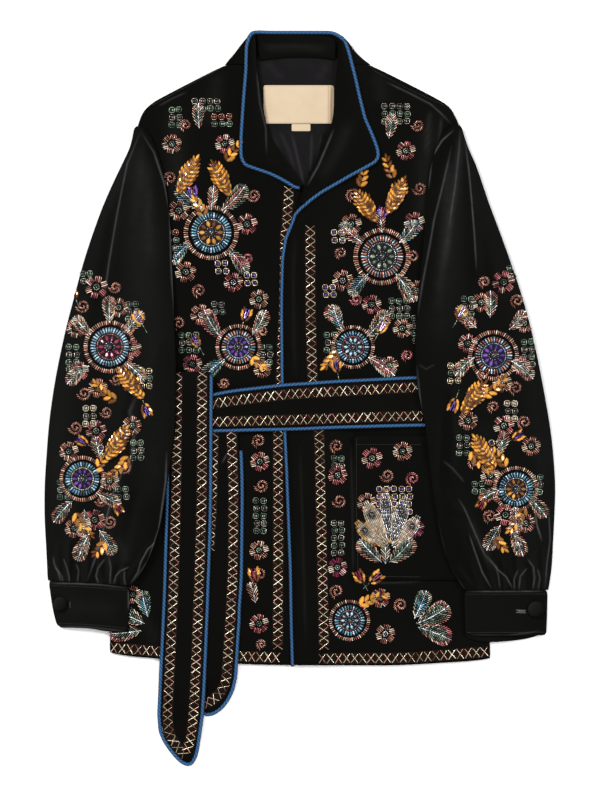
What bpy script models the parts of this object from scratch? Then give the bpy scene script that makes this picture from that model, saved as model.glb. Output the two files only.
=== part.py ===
"""A belted velvet jacket laid flat, front up: panels, collar, belt, cuffs, piping and raised appliques.

Lengths in the tables are millimetres. X runs to the photo's right, Y to its top, Z up from the surface.
"""

import bmesh
import bpy
import numpy as np
from mathutils import Vector
from mathutils.bvhtree import BVHTree

MM = 0.001
SEAM = 0.3
VELVET = 2.0
SATIN = 1.0
BELT_CLOTH = 2.4

# The raster that holds how high each laid piece reaches.
CELL = 2.0
HALF_X = 320.0
HALF_Y = 450.0
RAY_FROM = 200.0

# A panel keeps clear of what is under it within REACH, then that height is smoothed over SOFT.
REACH = 28.0
SOFT = 4.0

# A loose cloth rises between its edges: how sharply it comes down at them, and how sharply its ridges do.
EDGE_FALL = 4
RIDGE_FALL = 8
WELD = 0.0001
FACES_UP = 0.5
MITRE_LIMIT = 0.6

# The share of a panel's length over which its hem or foot bends, and looser gaps over cords.
HEM_BLEND = 0.15
FOOT_BLEND = 0.08
CORD_GAP = 0.6
COLLAR_GAP = 1.0

# Beyond the body's sides the belt comes down closer: the place and the reach there.
BELT_SIDES = (214.0, 8.0)
BACK_REACH = 32.0

# Heights between which the shoulders and the sleeve heads curve.
SHOULDER = (352.0, 303.0)
SLEEVE_HEAD = (322.0, 280.0)

# Colour (linear), roughness and metallic of each kind of piece.
LOOKS = {
    "velvet": ((0.006, 0.006, 0.005), 0.9, 0.0),
    "satin": ((0.018, 0.016, 0.018), 0.45, 0.0),
    "label": ((0.75, 0.55, 0.36), 0.7, 0.0),
    "cord": ((0.02, 0.14, 0.46), 0.55, 0.0),
    "amber": ((0.58, 0.23, 0.02), 0.3, 0.2),
    "teal": ((0.04, 0.14, 0.19), 0.3, 0.3),
}

# Body outline: height, left edge, right edge.
BODY = (
    (392.5, -88.0, 83.0),
    (389.0, -94.8, 87.8),
    (370.3, -132.0, 127.5),
    (351.6, -167.5, 163.5),
    (346.7, -174.5, 171.0),
    (342.0, -180.2, 176.6),
    (336.0, -184.6, 179.8),
    (328.0, -188.0, 184.0),
    (320.0, -190.5, 186.8),
    (310.0, -188.5, 184.5),
    (288.0, -175.0, 172.0),
    (235.0, -166.0, 163.0),
    (190.0, -168.0, 165.0),
    (150.0, -184.0, 181.0),
    (118.0, -213.0, 213.0),
    (0.0, -216.0, 216.0),
    (-311.0, -223.0, 223.0),
)

# Hem curve: across, height.
HEM = (
    (-223.0, -296.0),
    (-199.5, -300.6),
    (-164.0, -303.0),
    (-69.0, -309.5),
    (-28.0, -310.6),
    (117.0, -311.0),
    (164.0, -308.0),
    (202.0, -306.0),
    (223.0, -303.0),
)

# Inner edge of the left front, which lies under the right one: height, across.
LEFT_FRONT_EDGE = (
    (392.5, -53.0),
    (350.0, -46.5),
    (318.0, -40.6),
    (311.0, -37.7),
    (250.0, 1.9),
    (238.0, 9.0),
    (200.0, 14.0),
    (-311.0, 14.0),
)

# Inner edge of the right front, roll line first and overlap edge below it: height, across.
RIGHT_FRONT_EDGE = (
    (392.5, 44.5),
    (378.0, 43.5),
    (326.0, 39.5),
    (315.0, 36.0),
    (288.0, 23.5),
    (269.0, 15.1),
    (253.0, 7.4),
    (224.0, -1.3),
    (211.0, -5.1),
    (199.5, -11.8),
    (185.0, -15.4),
    (170.0, -18.2),
    (110.6, -19.6),
    (20.5, -18.8),
    (-36.0, -15.7),
    (-82.5, -13.5),
    (-142.0, -11.3),
    (-202.0, -9.0),
    (-257.0, -8.3),
    (-311.0, -6.7),
)

LINING = (
    (405.0, -49.0, 41.0),
    (396.0, -60.0, 52.0),
    (350.0, -60.0, 54.0),
    (311.0, -54.0, 50.0),
    (270.0, -32.0, 34.0),
    (235.0, -14.0, 20.0),
    (210.0, -6.0, 6.0),
)
LABEL = ((368.8, -42.7, 39.8), (323.9, -42.7, 39.8))
SIZE_TAB = ((323.3, -9.8, 12.2), (315.0, -9.8, 12.2))

COLLAR_BACK = (
    (430.4, -56.0, 39.0),
    (426.5, -60.8, 50.3),
    (417.0, -69.0, 58.5),
    (407.7, -75.0, 64.0),
    (398.4, -84.0, 75.0),
    (393.0, -87.5, 82.5),
)
COLLAR_STAND = (
    (428.2, -50.0, 34.0),
    (420.0, -49.5, 42.0),
    (411.0, -49.0, 42.0),
    (399.0, -47.5, 40.5),
)
COLLAR_STAND_FOOT = ((-48.0, 397.0), (-20.0, 401.0), (15.0, 401.5), (41.0, 398.0))
COLLAR_SIDE_LEFT = (
    (427.5, -59.0, -52.6),
    (417.0, -68.5, -51.6),
    (407.7, -75.0, -51.2),
    (393.0, -87.5, -51.0),
)
COLLAR_SIDE_RIGHT = (
    (424.5, 44.6, 52.0),
    (417.0, 44.6, 58.5),
    (407.7, 44.4, 64.0),
    (398.4, 44.0, 75.0),
    (393.0, 44.0, 82.5),
)

LAPEL_LEFT = (
    (423.0, -57.4, -52.4),
    (414.0, -60.2, -51.8),
    (400.0, -60.6, -51.2),
    (385.5, -60.9, -50.2),
    (370.0, -62.2, -48.0),
    (356.0, -63.4, -45.5),
    (338.0, -64.7, -42.2),
    (319.0, -65.9, -38.7),
    (307.0, -66.6, -33.0),
    (295.0, -66.9, -25.2),
    (284.0, -66.4, -18.0),
    (277.0, -62.6, -13.4),
    (272.2, -49.0, -10.4),
    (267.2, -34.0, -7.2),
    (261.0, -21.5, -3.2),
    (254.6, -10.5, 1.0),
    (250.6, -4.4, 3.4),
)
LAPEL_RIGHT = (
    (418.5, 45.6, 50.6),
    (410.0, 44.9, 53.8),
    (401.0, 44.2, 56.3),
    (389.0, 43.2, 59.3),
    (378.0, 42.2, 62.2),
    (365.0, 41.2, 65.1),
    (353.0, 40.3, 67.8),
    (341.0, 39.4, 70.8),
    (329.0, 38.4, 73.8),
    (315.0, 34.7, 80.0),
    (304.0, 29.5, 84.6),
    (293.0, 24.5, 88.6),
    (285.0, 20.8, 89.4),
    (280.5, 18.8, 86.4),
    (273.4, 15.6, 73.8),
    (264.8, 11.8, 57.8),
    (256.0, 7.6, 42.8),
    (245.6, 4.0, 24.6),
    (236.4, 1.2, 11.6),
    (230.0, -0.8, 4.6),
)

POCKET = ((-42.0, 62.0, 204.0), (-120.0, 61.5, 205.0), (-211.0, 64.0, 206.0))

BELT_BACK = ((-238.0, -44.0, 8.0), (238.0, -26.0, 28.0))
BELT_WAIST = (
    (-238.0, -41.0, 5.0),
    (-230.0, -40.8, 5.0),
    (-222.0, -40.5, 5.0),
    (-208.0, -40.0, 4.6),
    (-192.0, -39.0, 4.2),
    (-176.0, -38.0, 3.6),
    (-160.0, -37.0, 3.2),
    (-145.0, -36.0, 3.0),
    (-130.0, -35.0, 3.0),
    (-115.0, -34.2, 3.4),
    (-100.0, -33.6, 4.0),
    (-85.0, -33.4, 7.0),
    (-70.0, -33.0, 9.2),
    (-50.0, -32.4, 11.4),
    (-35.0, -32.2, 13.2),
    (-20.0, -31.9, 14.9),
    (-5.0, -31.5, 16.0),
    (10.0, -31.0, 16.9),
    (25.0, -30.2, 18.0),
    (42.0, -29.6, 19.2),
    (60.0, -29.0, 20.1),
    (78.0, -28.6, 21.0),
    (96.0, -28.0, 21.9),
    (114.0, -27.6, 22.8),
    (132.0, -27.2, 23.6),
    (150.0, -26.8, 24.2),
    (168.0, -26.4, 24.8),
    (187.0, -26.0, 25.2),
    (206.0, -25.6, 25.6),
    (222.0, -25.4, 26.0),
    (230.0, -25.2, 26.0),
    (238.0, -25.0, 26.0),
)
BELT_LONG = (
    (33.0, -151.6, -106.0),
    (-34.5, -152.0, -106.5),
    (-116.0, -153.0, -107.0),
    (-161.0, -154.4, -108.0),
    (-229.0, -156.4, -110.5),
    (-295.0, -159.4, -113.0),
    (-340.0, -161.5, -115.0),
    (-369.0, -162.9, -117.0),
    (-388.0, -161.4, -119.6),
    (-399.0, -156.6, -121.3),
    (-407.0, -151.2, -122.4),
    (-415.0, -144.8, -124.2),
    (-421.0, -139.2, -126.6),
    (-424.6, -134.6, -129.4),
)
BELT_SHORT = (
    (-12.0, -108.0, -74.0),
    (-41.5, -110.0, -72.2),
    (-88.0, -112.0, -70.2),
    (-116.0, -113.0, -70.0),
    (-206.0, -118.0, -71.0),
    (-295.0, -122.0, -76.0),
    (-329.0, -123.6, -78.4),
    (-345.0, -123.4, -83.2),
    (-355.5, -121.4, -90.0),
    (-362.8, -117.6, -97.2),
    (-366.3, -111.8, -104.4),
)

SLEEVE_LEFT = (
    (320.5, -191.5, -187.0),
    (318.5, -194.0, -183.0),
    (313.5, -195.3, -177.5),
    (304.5, -196.8, -172.2),
    (296.0, -199.0, -169.0),
    (286.0, -203.5, -165.5),
    (270.0, -211.0, -160.5),
    (235.0, -228.0, -155.0),
    (197.0, -242.0, -151.2),
    (160.0, -254.0, -150.0),
    (122.0, -264.0, -148.3),
    (85.0, -274.0, -146.5),
    (47.0, -282.0, -144.8),
    (10.0, -289.0, -144.6),
    (-27.5, -294.0, -145.2),
    (-65.0, -297.0, -150.0),
    (-102.0, -299.5, -155.0),
    (-140.0, -299.5, -161.5),
    (-177.0, -297.0, -173.0),
    (-203.0, -296.3, -184.5),
    (-214.0, -295.6, -197.0),
)
SLEEVE_LEFT_FOOT = ((-296.0, -211.4), (-250.0, -213.6), (-198.0, -217.2))
SLEEVE_RIGHT = (
    (322.0, 179.0, 186.5),
    (319.0, 173.5, 189.5),
    (314.0, 168.3, 191.0),
    (306.0, 163.3, 193.2),
    (296.0, 159.6, 196.5),
    (286.0, 156.5, 201.0),
    (270.0, 152.0, 208.5),
    (235.0, 148.0, 219.0),
    (197.0, 146.0, 234.0),
    (160.0, 142.0, 247.0),
    (122.0, 138.5, 260.0),
    (85.0, 135.5, 270.0),
    (47.0, 134.0, 278.5),
    (10.0, 137.5, 285.5),
    (-27.5, 146.5, 292.5),
    (-65.0, 150.0, 297.0),
    (-102.0, 155.0, 299.5),
    (-140.0, 161.0, 298.0),
    (-177.0, 168.5, 296.0),
    (-200.0, 177.0, 295.0),
    (-214.0, 187.0, 293.0),
    (-222.6, 193.0, 291.0),
)

# The under side of a sleeve starts below the shoulder, where the upper side still lies on the front.
SLEEVE_UNDER_LEFT = (
    (250.0, -216.0, -192.0),
    (235.0, -223.0, -186.0),
    (197.0, -237.0, -173.0),
    (160.0, -249.5, -161.0),
    (122.0, -259.5, -153.5),
    (85.0, -269.5, -151.0),
    (47.0, -277.5, -149.5),
    (-27.5, -289.5, -149.8),
    (-102.0, -295.0, -159.5),
    (-140.0, -295.0, -166.5),
    (-177.0, -292.5, -178.5),
    (-200.0, -292.0, -190.0),
    (-209.5, -291.5, -200.0),
)
SLEEVE_UNDER_RIGHT = (
    (250.0, 188.0, 209.0),
    (235.0, 181.0, 214.5),
    (197.0, 169.0, 229.5),
    (160.0, 155.0, 242.5),
    (122.0, 144.0, 255.5),
    (85.0, 140.5, 265.5),
    (47.0, 139.0, 274.0),
    (10.0, 142.0, 281.0),
    (-27.5, 150.5, 288.0),
    (-102.0, 159.5, 295.0),
    (-140.0, 165.5, 293.5),
    (-177.0, 173.5, 291.5),
    (-200.0, 182.0, 290.5),
    (-220.5, 196.0, 287.0),
)

CUFF_LEFT = (
    (-215.0, -294.6, -200.5),
    (-228.0, -292.5, -199.0),
    (-244.0, -290.0, -199.6),
    (-258.0, -288.0, -201.0),
    (-269.0, -284.5, -202.0),
)
CUFF_LEFT_TOP = ((-295.0, -212.2), (-250.0, -214.5), (-198.0, -218.2))
CUFF_LEFT_FOOT = ((-286.0, -264.5), (-275.0, -266.6), (-246.0, -266.8), (-223.0, -272.0), (-201.0, -271.4))
CUFF_UNDER_LEFT = (
    (-217.0, -292.8, -203.0),
    (-244.0, -288.0, -201.6),
    (-267.0, -282.5, -204.0),
)
CUFF_RIGHT = (
    (-223.4, 192.5, 290.0),
    (-250.0, 193.0, 289.6),
    (-275.5, 194.0, 288.6),
)
CUFF_UNDER_RIGHT = (
    (-223.8, 195.0, 287.5),
    (-250.0, 194.6, 288.0),
    (-281.0, 194.0, 288.6),
)
CUFF_UNDER_RIGHT_FOOT = (
    (194.0, -278.5),
    (203.0, -283.6),
    (232.0, -283.6),
    (251.0, -281.8),
    (270.0, -279.8),
    (288.6, -272.0),
)

# Ridges and creases: from across, from height, to across, to height, half width, rise.
BODY_RIDGES = (
    (153.0, 337.0, 145.0, 205.0, 13.0, 1.4),
    (-150.0, 330.0, -142.0, 200.0, 14.0, 1.2),
    (110.0, 340.0, 118.0, 120.0, 22.0, 0.8),
    (-96.0, 350.0, -112.0, 90.0, 24.0, 0.7),
    (95.0, -215.0, 110.0, -300.0, 16.0, 0.8),
    (-45.0, -60.0, -40.0, -290.0, 15.0, 0.6),
    (30.0, 160.0, 36.0, 40.0, 16.0, 0.5),
)
SLEEVE_LEFT_RIDGES = (
    (-205.0, 262.0, -226.0, 140.0, 11.0, 1.6),
    (-182.0, 290.0, -186.0, 190.0, 12.0, 1.3),
    (-234.0, 110.0, -262.0, -40.0, 16.0, 1.1),
    (-186.0, 120.0, -172.0, 20.0, 15.0, 1.0),
    (-188.0, 28.0, -197.0, -61.0, 12.0, 1.2),
    (-208.0, -77.0, -239.0, -190.0, 12.0, 1.5),
    (-172.0, -150.0, -202.0, -205.0, 10.0, 1.3),
    (-268.0, -90.0, -276.0, -180.0, 13.0, 1.2),
)
SLEEVE_RIGHT_RIDGES = (
    (180.0, 299.0, 155.0, 199.5, 10.0, 1.4),
    (186.0, 300.0, 167.0, 140.0, 10.0, 1.5),
    (199.5, 250.0, 206.0, 153.0, 11.0, 1.5),
    (228.0, 150.0, 252.0, 10.0, 16.0, 1.1),
    (177.0, 5.0, 176.0, -84.0, 11.0, 1.3),
    (179.0, -128.0, 198.0, -190.0, 10.0, 1.3),
    (262.0, -60.0, 268.0, -160.0, 13.0, 1.2),
    (223.0, -110.0, 232.0, -180.0, 11.0, 1.3),
)

# Gathers at a cuff, one in each second column: column, length, rise.
GATHERS_LEFT = (
    (1, 34.0, 1.7),
    (3, 48.0, 2.0),
    (5, 30.0, 1.6),
    (7, 44.0, 1.8),
    (9, 26.0, 1.5),
    (11, 52.0, 2.0),
    (13, 38.0, 1.7),
    (15, 46.0, 1.9),
)
GATHERS_RIGHT = (
    (1, 42.0, 1.8),
    (3, 52.0, 2.0),
    (5, 36.0, 1.7),
    (7, 30.0, 1.5),
    (9, 46.0, 1.9),
    (11, 28.0, 1.5),
    (13, 40.0, 1.8),
    (15, 32.0, 1.6),
)

LINING_RIDGES = (
    (-20.0, 300.0, 6.0, 235.0, 7.0, 0.5),
    (14.0, 310.0, 8.0, 250.0, 6.0, 0.5),
)

# Cuff buttons: name, across, height, radius, the cuff it is on.
BUTTONS = (
    ("cuff_button_left", -280.0, -239.0, 8.6, "cuff_upper_left"),
    ("cuff_button_right", 276.0, -245.0, 9.4, "cuff_upper_right"),
)
# Button profile: share of the radius, height.
BUTTON_PROFILE = ((0.0, 0.0), (0.9, 0.0), (1.0, 1.2), (0.93, 2.7), (0.6, 3.9), (0.0, 4.3))
BUTTON_SIDES = 16

# Medallions: name, across, height, radius, rise, panel.
MEDALLIONS = (
    ("medallion_01", -104.0, 196.0, 24.0, 2.4, "front_left"),
    ("medallion_02", -72.0, 62.0, 20.0, 2.4, "front_left"),
    ("medallion_03", 96.0, 168.0, 25.0, 2.4, "front_right"),
    ("medallion_04", 62.0, 62.0, 19.0, 2.4, "front_right"),
    ("medallion_05", 58.0, -258.0, 18.0, 2.4, "front_right"),
    ("medallion_06", -222.0, 62.0, 23.0, 2.4, "sleeve_upper_left"),
    ("medallion_07", -254.0, -92.0, 20.0, 2.4, "sleeve_upper_left"),
    ("medallion_08", 226.0, 52.0, 22.0, 2.4, "sleeve_upper_right"),
    ("medallion_09", 252.0, -104.0, 20.0, 2.4, "sleeve_upper_right"),
)
MEDALLION_SIDES = 16
MEDALLION_LOBES = 8
LOBE_SHARE = 0.035

# Leaves: name, across, height, half length, half width, turn in degrees, rise, panel.
LEAVES = (
    ("leaf_01", -132.0, 262.0, 24.0, 9.5, 62.0, 2.2, "front_left"),
    ("leaf_02", -92.0, 258.0, 22.0, 9.0, 118.0, 2.2, "front_left"),
    ("leaf_03", 112.0, 238.0, 23.0, 9.5, 64.0, 2.2, "front_right"),
    ("leaf_04", 78.0, 226.0, 21.0, 9.0, 122.0, 2.2, "front_right"),
    ("leaf_05", -196.0, 18.0, 22.0, 9.0, 130.0, 2.2, "sleeve_upper_left"),
    ("leaf_06", -214.0, -52.0, 22.0, 9.0, 58.0, 2.2, "sleeve_upper_left"),
    ("leaf_07", 202.0, 2.0, 22.0, 9.0, 52.0, 2.2, "sleeve_upper_right"),
    ("leaf_08", 216.0, -62.0, 22.0, 9.0, 124.0, 2.2, "sleeve_upper_right"),
)
LEAF_SIDES = 12
LEAF_TAPER = 0.25

# An applique's clearance over its panel, its rings, and how much lower its rim is than its middle.
DOME_REACH = 6.0
DOME_RINGS = 2
RIM_DROP = 0.6

PIPE_COLLAR = 1.8
PIPE_FRONT = 1.6
PIPE_BELT = 1.8
PIPE_CLEAR = 0.45
# Where one cord leads on to the next: shares of the way across, along and up.
CORD_MEETING = ((0.03, 0.03, 0.03), (0.28, 0.15, 0.05), (0.66, 0.48, 0.15), (0.97, 0.74, 0.45))
CORD_CORNER_LEFT = ((0.02, 0.10, 0.0), (0.22, 0.62, 0.0), (0.48, 1.0, 0.25), (0.76, 1.04, 0.7))
CORD_CORNER_RIGHT = ((0.25, 0.08, 0.35), (0.50, 0.28, 0.85), (0.74, 0.55, 1.0), (0.98, 0.93, 1.0))

ACROSS = np.arange(-HALF_X, HALF_X + CELL, CELL)
UP = np.arange(-HALF_Y, HALF_Y + CELL, CELL)
TOPS = {}
GRIDS = {}

for old in list(bpy.data.objects):
    bpy.data.objects.remove(old, do_unlink=True)
JACKET = bpy.data.collections.new("belted_velvet_jacket")
bpy.context.scene.collection.children.link(JACKET)


def look_of(name, kind):
    """A Principled material of the piece's own."""
    colour, roughness, metallic = LOOKS[kind]
    material = bpy.data.materials.new(name)
    material.use_nodes = True
    shader = material.node_tree.nodes["Principled BSDF"]
    shader.inputs["Base Color"].default_value = (*colour, 1.0)
    shader.inputs["Roughness"].default_value = roughness
    shader.inputs["Metallic"].default_value = metallic
    return material


def spread(height, cells):
    """The greatest height within so many cells, across and up."""
    for axis in (0, 1):
        best = height.copy()
        for step in range(1, cells + 1):
            for sign in (-1, 1):
                moved = np.roll(height, sign * step, axis=axis)
                best = np.maximum(best, moved)
        height = best
    return height


def smooth(height, cells):
    """The mean height within so many cells, across and up."""
    for axis in (0, 1):
        total = height.copy()
        for step in range(1, cells + 1):
            total += np.roll(height, step, axis=axis) + np.roll(height, -step, axis=axis)
        height = total / (2 * cells + 1)
    return height


def support(names, reach, soft):
    """How high a cloth laid on these pieces has to lie, over the raster."""
    height = np.zeros((len(UP), len(ACROSS)))
    for name in names:
        height = np.maximum(height, TOPS[name])
    height = spread(height, int(round(reach / CELL)))
    return smooth(height, int(round(soft / CELL)))


def sample(height, x, y):
    """The raster's height at a point, between its four nearest cells."""
    across = (x + HALF_X) / CELL
    up = (y + HALF_Y) / CELL
    i, j = int(across), int(up)
    s, t = across - i, up - j
    low = height[j, i] * (1 - s) + height[j, i + 1] * s
    high = height[j + 1, i] * (1 - s) + height[j + 1, i + 1] * s
    return low * (1 - t) + high * t


def note_top(piece):
    """Keep how high a finished piece reaches, over the raster."""
    mesh = piece.data
    points = [(piece.location + v.co) / MM for v in mesh.vertices]
    tree = BVHTree.FromPolygons(points, [tuple(p.vertices) for p in mesh.polygons])
    corners = np.array(points)
    low, high = corners.min(axis=0), corners.max(axis=0)
    top = np.zeros((len(UP), len(ACROSS)))
    down = Vector((0.0, 0.0, -1.0))
    for j, y in enumerate(UP):
        if not low[1] <= y <= high[1]:
            continue
        for i, x in enumerate(ACROSS):
            if low[0] <= x <= high[0]:
                hit = tree.ray_cast(Vector((x, y, RAY_FROM)), down)[0]
                if hit is not None:
                    top[j, i] = hit.z
    TOPS[piece.name] = top


def finish(bm, name, kind, round_piece):
    """Make the named object from a mesh in millimetres, with its origin at its own middle."""
    bmesh.ops.recalc_face_normals(bm, faces=bm.faces)
    corners = np.array([v.co for v in bm.verts])
    middle = Vector((corners.min(axis=0) + corners.max(axis=0)) / 2)
    for v in bm.verts:
        v.co = (v.co - middle) * MM
    for face in bm.faces:
        face.smooth = round_piece or abs(face.normal.z) > FACES_UP
    mesh = bpy.data.meshes.new(name)
    bm.to_mesh(mesh)
    bm.free()
    piece = bpy.data.objects.new(name, mesh)
    piece.location = middle * MM
    mesh.materials.append(look_of(name, kind))
    JACKET.objects.link(piece)
    note_top(piece)
    return piece


def between(table, at, column):
    """A table's column at a height or place that lies between its rows."""
    rows = sorted(table)
    return float(np.interp(at, [r[0] for r in rows], [r[column] for r in rows]))


def ridge_height(ridges, x, y):
    """The sum of the ridges at a point, each one fading with the distance from its line."""
    total = 0.0
    here = Vector((x, y))
    for x0, y0, x1, y1, half_width, rise in ridges:
        start, run = Vector((x0, y0)), Vector((x1 - x0, y1 - y0))
        share = min(1.0, max(0.0, (here - start).dot(run) / run.length_squared))
        away = (here - start - run * share).length / half_width
        total += rise * float(np.exp(-away * away))
    return total


def gather_height(gathers, column, from_foot):
    """The rise of a gather in this column, fading with the distance from the cuff."""
    for at, length, rise in gathers:
        if at == column and from_foot < length:
            return rise * (1 - (from_foot / length) ** 2)
    return 0.0


def cloth(name, table, columns, rows, on, kind="velvet", thick=VELVET, along="Y", head=None, foot=None,
          blend=0.25, loft=0.0, ridges=(), gathers=(), reach=REACH, soft=SOFT, gap=SEAM, ends=None, tip=None,
          curve=None):
    """A panel of cloth inside an outline, laid on other pieces, with one wall.

    The table's rows are place, low edge, high edge. With rows=0 the panel has a row at each row of the table.
    head and foot bend the first and last rows to a curve, over a share of the length named blend.
    ends is (place, reach): beyond that place the panel keeps clear by the smaller reach only.
    tip is a place from which on the panel has the table's own rows, so that a rounded end keeps its form.
    curve is (highest, lowest): between them too the panel has the table's own rows, as on a rounded shoulder.
    """
    first, last = table[0][0], table[-1][0]
    places = [r[0] for r in table] if rows == 0 else list(np.linspace(first, last, rows + 1))
    if tip is not None:
        places = [p for p in places if p > tip] + [r[0] for r in table if r[0] <= tip]
    if curve is not None:
        own = [r[0] for r in table if curve[1] <= r[0] <= curve[0]]
        places = sorted([p for p in places if not curve[1] <= p <= curve[0]] + own, reverse=True)
    rows = len(places) - 1
    under = support(on, reach, soft)
    under_end = support(on, ends[1], CELL) if ends else under
    bm = bmesh.new()
    bmesh.ops.create_grid(bm, x_segments=columns, y_segments=rows, size=1.0)
    grid = np.zeros((rows + 1, columns + 1, 3))
    for v in bm.verts:
        column = int(round((v.co.x + 1) / 2 * columns))
        row = int(round((1 - v.co.y) / 2 * rows))
        place = places[row]
        low, high = between(table, place, 1), between(table, place, 2)
        side = low + (high - low) * column / columns
        x, y = (side, place) if along == "Y" else (place, side)
        down = row / rows
        if head:
            y += max(0.0, 1 - down / blend) * (between(head, x, 1) - first)
        if foot:
            y += max(0.0, 1 - (1 - down) / blend) * (between(foot, x, 1) - last)
        edge = abs(2 * column / columns - 1)
        rise = loft * (1 - edge ** EDGE_FALL) + ridge_height(ridges, x, y) * (1 - edge ** RIDGE_FALL)
        rise += gather_height(gathers, column, y - last)
        height = under_end if ends and abs(x) > ends[0] else under
        v.co = Vector((x, y, sample(height, x, y) + (gap if on else 0.0) + max(0.0, rise)))
        grid[row, column] = v.co
    GRIDS[name] = grid
    raised = bmesh.ops.extrude_face_region(bm, geom=list(bm.faces))["geom"]
    moved = [g for g in raised if isinstance(g, bmesh.types.BMVert)]
    bmesh.ops.translate(bm, verts=moved, vec=Vector((0.0, 0.0, thick)))
    return finish(bm, name, kind, False)


def outer_route(points, radius, turn):
    """A cord's route beside an edge: its points moved out sideways, and up by the cord's radius."""
    flat = np.array(points)
    steps = np.diff(flat[:, :2], axis=0)
    steps /= np.linalg.norm(steps, axis=1)[:, None]
    sides = np.stack([-steps[:, 1], steps[:, 0]], axis=1) * turn
    route = []
    for k, point in enumerate(flat):
        before, after = sides[max(k - 1, 0)], sides[min(k, len(sides) - 1)]
        middle = before + after
        middle /= np.linalg.norm(middle)
        out = (radius + PIPE_CLEAR) / max(MITRE_LIMIT, float(middle @ after))
        route.append((point[0] + middle[0] * out, point[1] + middle[1] * out, point[2] + radius))
    return route


def cord(name, route, radius):
    """A round piping cord along a route."""
    curve = bpy.data.curves.new(name, "CURVE")
    curve.dimensions = "3D"
    curve.bevel_depth = radius
    curve.bevel_resolution = 1
    curve.use_fill_caps = True
    line = curve.splines.new("POLY")
    line.points.add(len(route) - 1)
    for point, place in zip(line.points, route):
        point.co = (*place, 1.0)
    holder = bpy.data.objects.new(name + "_route", curve)
    bpy.context.scene.collection.objects.link(holder)
    mesh = bpy.data.meshes.new_from_object(holder.evaluated_get(bpy.context.evaluated_depsgraph_get()))
    bpy.data.objects.remove(holder, do_unlink=True)
    bm = bmesh.new()
    bm.from_mesh(mesh)
    bpy.data.meshes.remove(mesh)
    bmesh.ops.remove_doubles(bm, verts=bm.verts, dist=WELD)
    return finish(bm, name, "cord", True)


def between_ends(start, end, turns):
    """Places that lead a cord from one route's end to another's, as shares across, along and up."""
    return [tuple(a + (b - a) * share for a, b, share in zip(start, end, turn)) for turn in turns]


def low_dome(name, outline, rise, panel_name, kind, place):
    """A low raised applique on its panel, from an outline about its middle: foot, short wall and dome."""
    sides = len(outline)
    under = support([panel_name], DOME_REACH, CELL)
    bm = bmesh.new()
    bmesh.ops.create_grid(bm, x_segments=sides, y_segments=DOME_RINGS, size=1.0)
    shares = []
    for v in bm.verts:
        side = outline[int(round((v.co.x + 1) / 2 * sides)) % sides]
        share = round((1 - v.co.y) / 2, 4)
        x, y = place[0] + side[0] * share, place[1] + side[1] * share
        v.co = Vector((x, y, sample(under, x, y) + SEAM))
        shares.append((x, y, share))
    bmesh.ops.remove_doubles(bm, verts=bm.verts, dist=WELD)
    raised = bmesh.ops.extrude_face_region(bm, geom=list(bm.faces))["geom"]
    for v in (g for g in raised if isinstance(g, bmesh.types.BMVert)):
        share = min(shares, key=lambda s: (s[0] - v.co.x) ** 2 + (s[1] - v.co.y) ** 2)[2]
        v.co.z += rise * (1 - RIM_DROP * share ** 2)
    return finish(bm, name, kind, True)


def button(name, x, y, radius, cuff):
    """A covered button, turned from its profile, on its cuff."""
    floor = sample(support([cuff], radius, 0.0), x, y) + SEAM
    bm = bmesh.new()
    line = [bm.verts.new((x + share * radius, y, floor + height)) for share, height in BUTTON_PROFILE]
    edges = [bm.edges.new(pair) for pair in zip(line, line[1:])]
    bmesh.ops.spin(bm, geom=line + edges, cent=(x, y, 0.0), axis=(0.0, 0.0, 1.0), angle=2 * np.pi,
                   steps=BUTTON_SIDES, use_merge=True)
    bmesh.ops.remove_doubles(bm, verts=bm.verts, dist=WELD)
    return finish(bm, name, "velvet", True)


def with_edge(inner, outer_column, inner_first):
    """A front's outline: its inner edge table joined with one side of the body's."""
    places = sorted({r[0] for r in inner} | {r[0] for r in BODY}, reverse=True)
    table = []
    for place in places:
        outer, edge = between(BODY, place, outer_column), between(inner, place, 1)
        table.append((place, edge, outer) if inner_first else (place, outer, edge))
    return tuple(table)


# The layers from the surface up: the belt's back part, the back, the lining and the collar's outer side.
cloth("belt_back", BELT_BACK, 2, 6, [], thick=BELT_CLOTH, along="X")
cloth("back", BODY, 6, 27, ["belt_back"], foot=HEM, blend=HEM_BLEND, reach=BACK_REACH, gap=0.0, curve=SHOULDER)
cloth("collar_back", COLLAR_BACK, 6, 0, [])
cloth("lining_back", LINING, 6, 9, ["back", "collar_back"], kind="satin", thick=SATIN, ridges=LINING_RIDGES)
cloth("neck_label", LABEL, 4, 2, ["lining_back"], kind="label", thick=SATIN)
cloth("size_tab", SIZE_TAB, 1, 1, ["lining_back"], kind="label", thick=SATIN)
cloth("collar_stand", COLLAR_STAND, 6, 0, ["collar_back", "lining_back"], foot=COLLAR_STAND_FOOT)

# The fronts, the left one first.
LOWER = ["back", "lining_back", "neck_label"]
cloth("front_left", with_edge(LEFT_FRONT_EDGE, 1, False), 10, 31, LOWER, foot=HEM, blend=HEM_BLEND,
      loft=1.0, ridges=BODY_RIDGES, curve=SHOULDER)
cloth("front_right", with_edge(RIGHT_FRONT_EDGE, 2, True), 10, 31, LOWER + ["front_left"], foot=HEM,
      blend=HEM_BLEND, loft=1.0, ridges=BODY_RIDGES, curve=SHOULDER)
cloth("collar_side_left", COLLAR_SIDE_LEFT, 2, 0, ["collar_back", "collar_stand"], gap=COLLAR_GAP)
cloth("collar_side_right", COLLAR_SIDE_RIGHT, 2, 0, ["collar_back", "collar_stand"], gap=COLLAR_GAP)
UNDER_LAPELS = ["front_left", "front_right", "collar_side_left", "collar_side_right"]
cloth("lapel_left", LAPEL_LEFT, 3, 0, UNDER_LAPELS, loft=0.8)
cloth("lapel_right", LAPEL_RIGHT, 3, 0, UNDER_LAPELS, loft=0.8)
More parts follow.
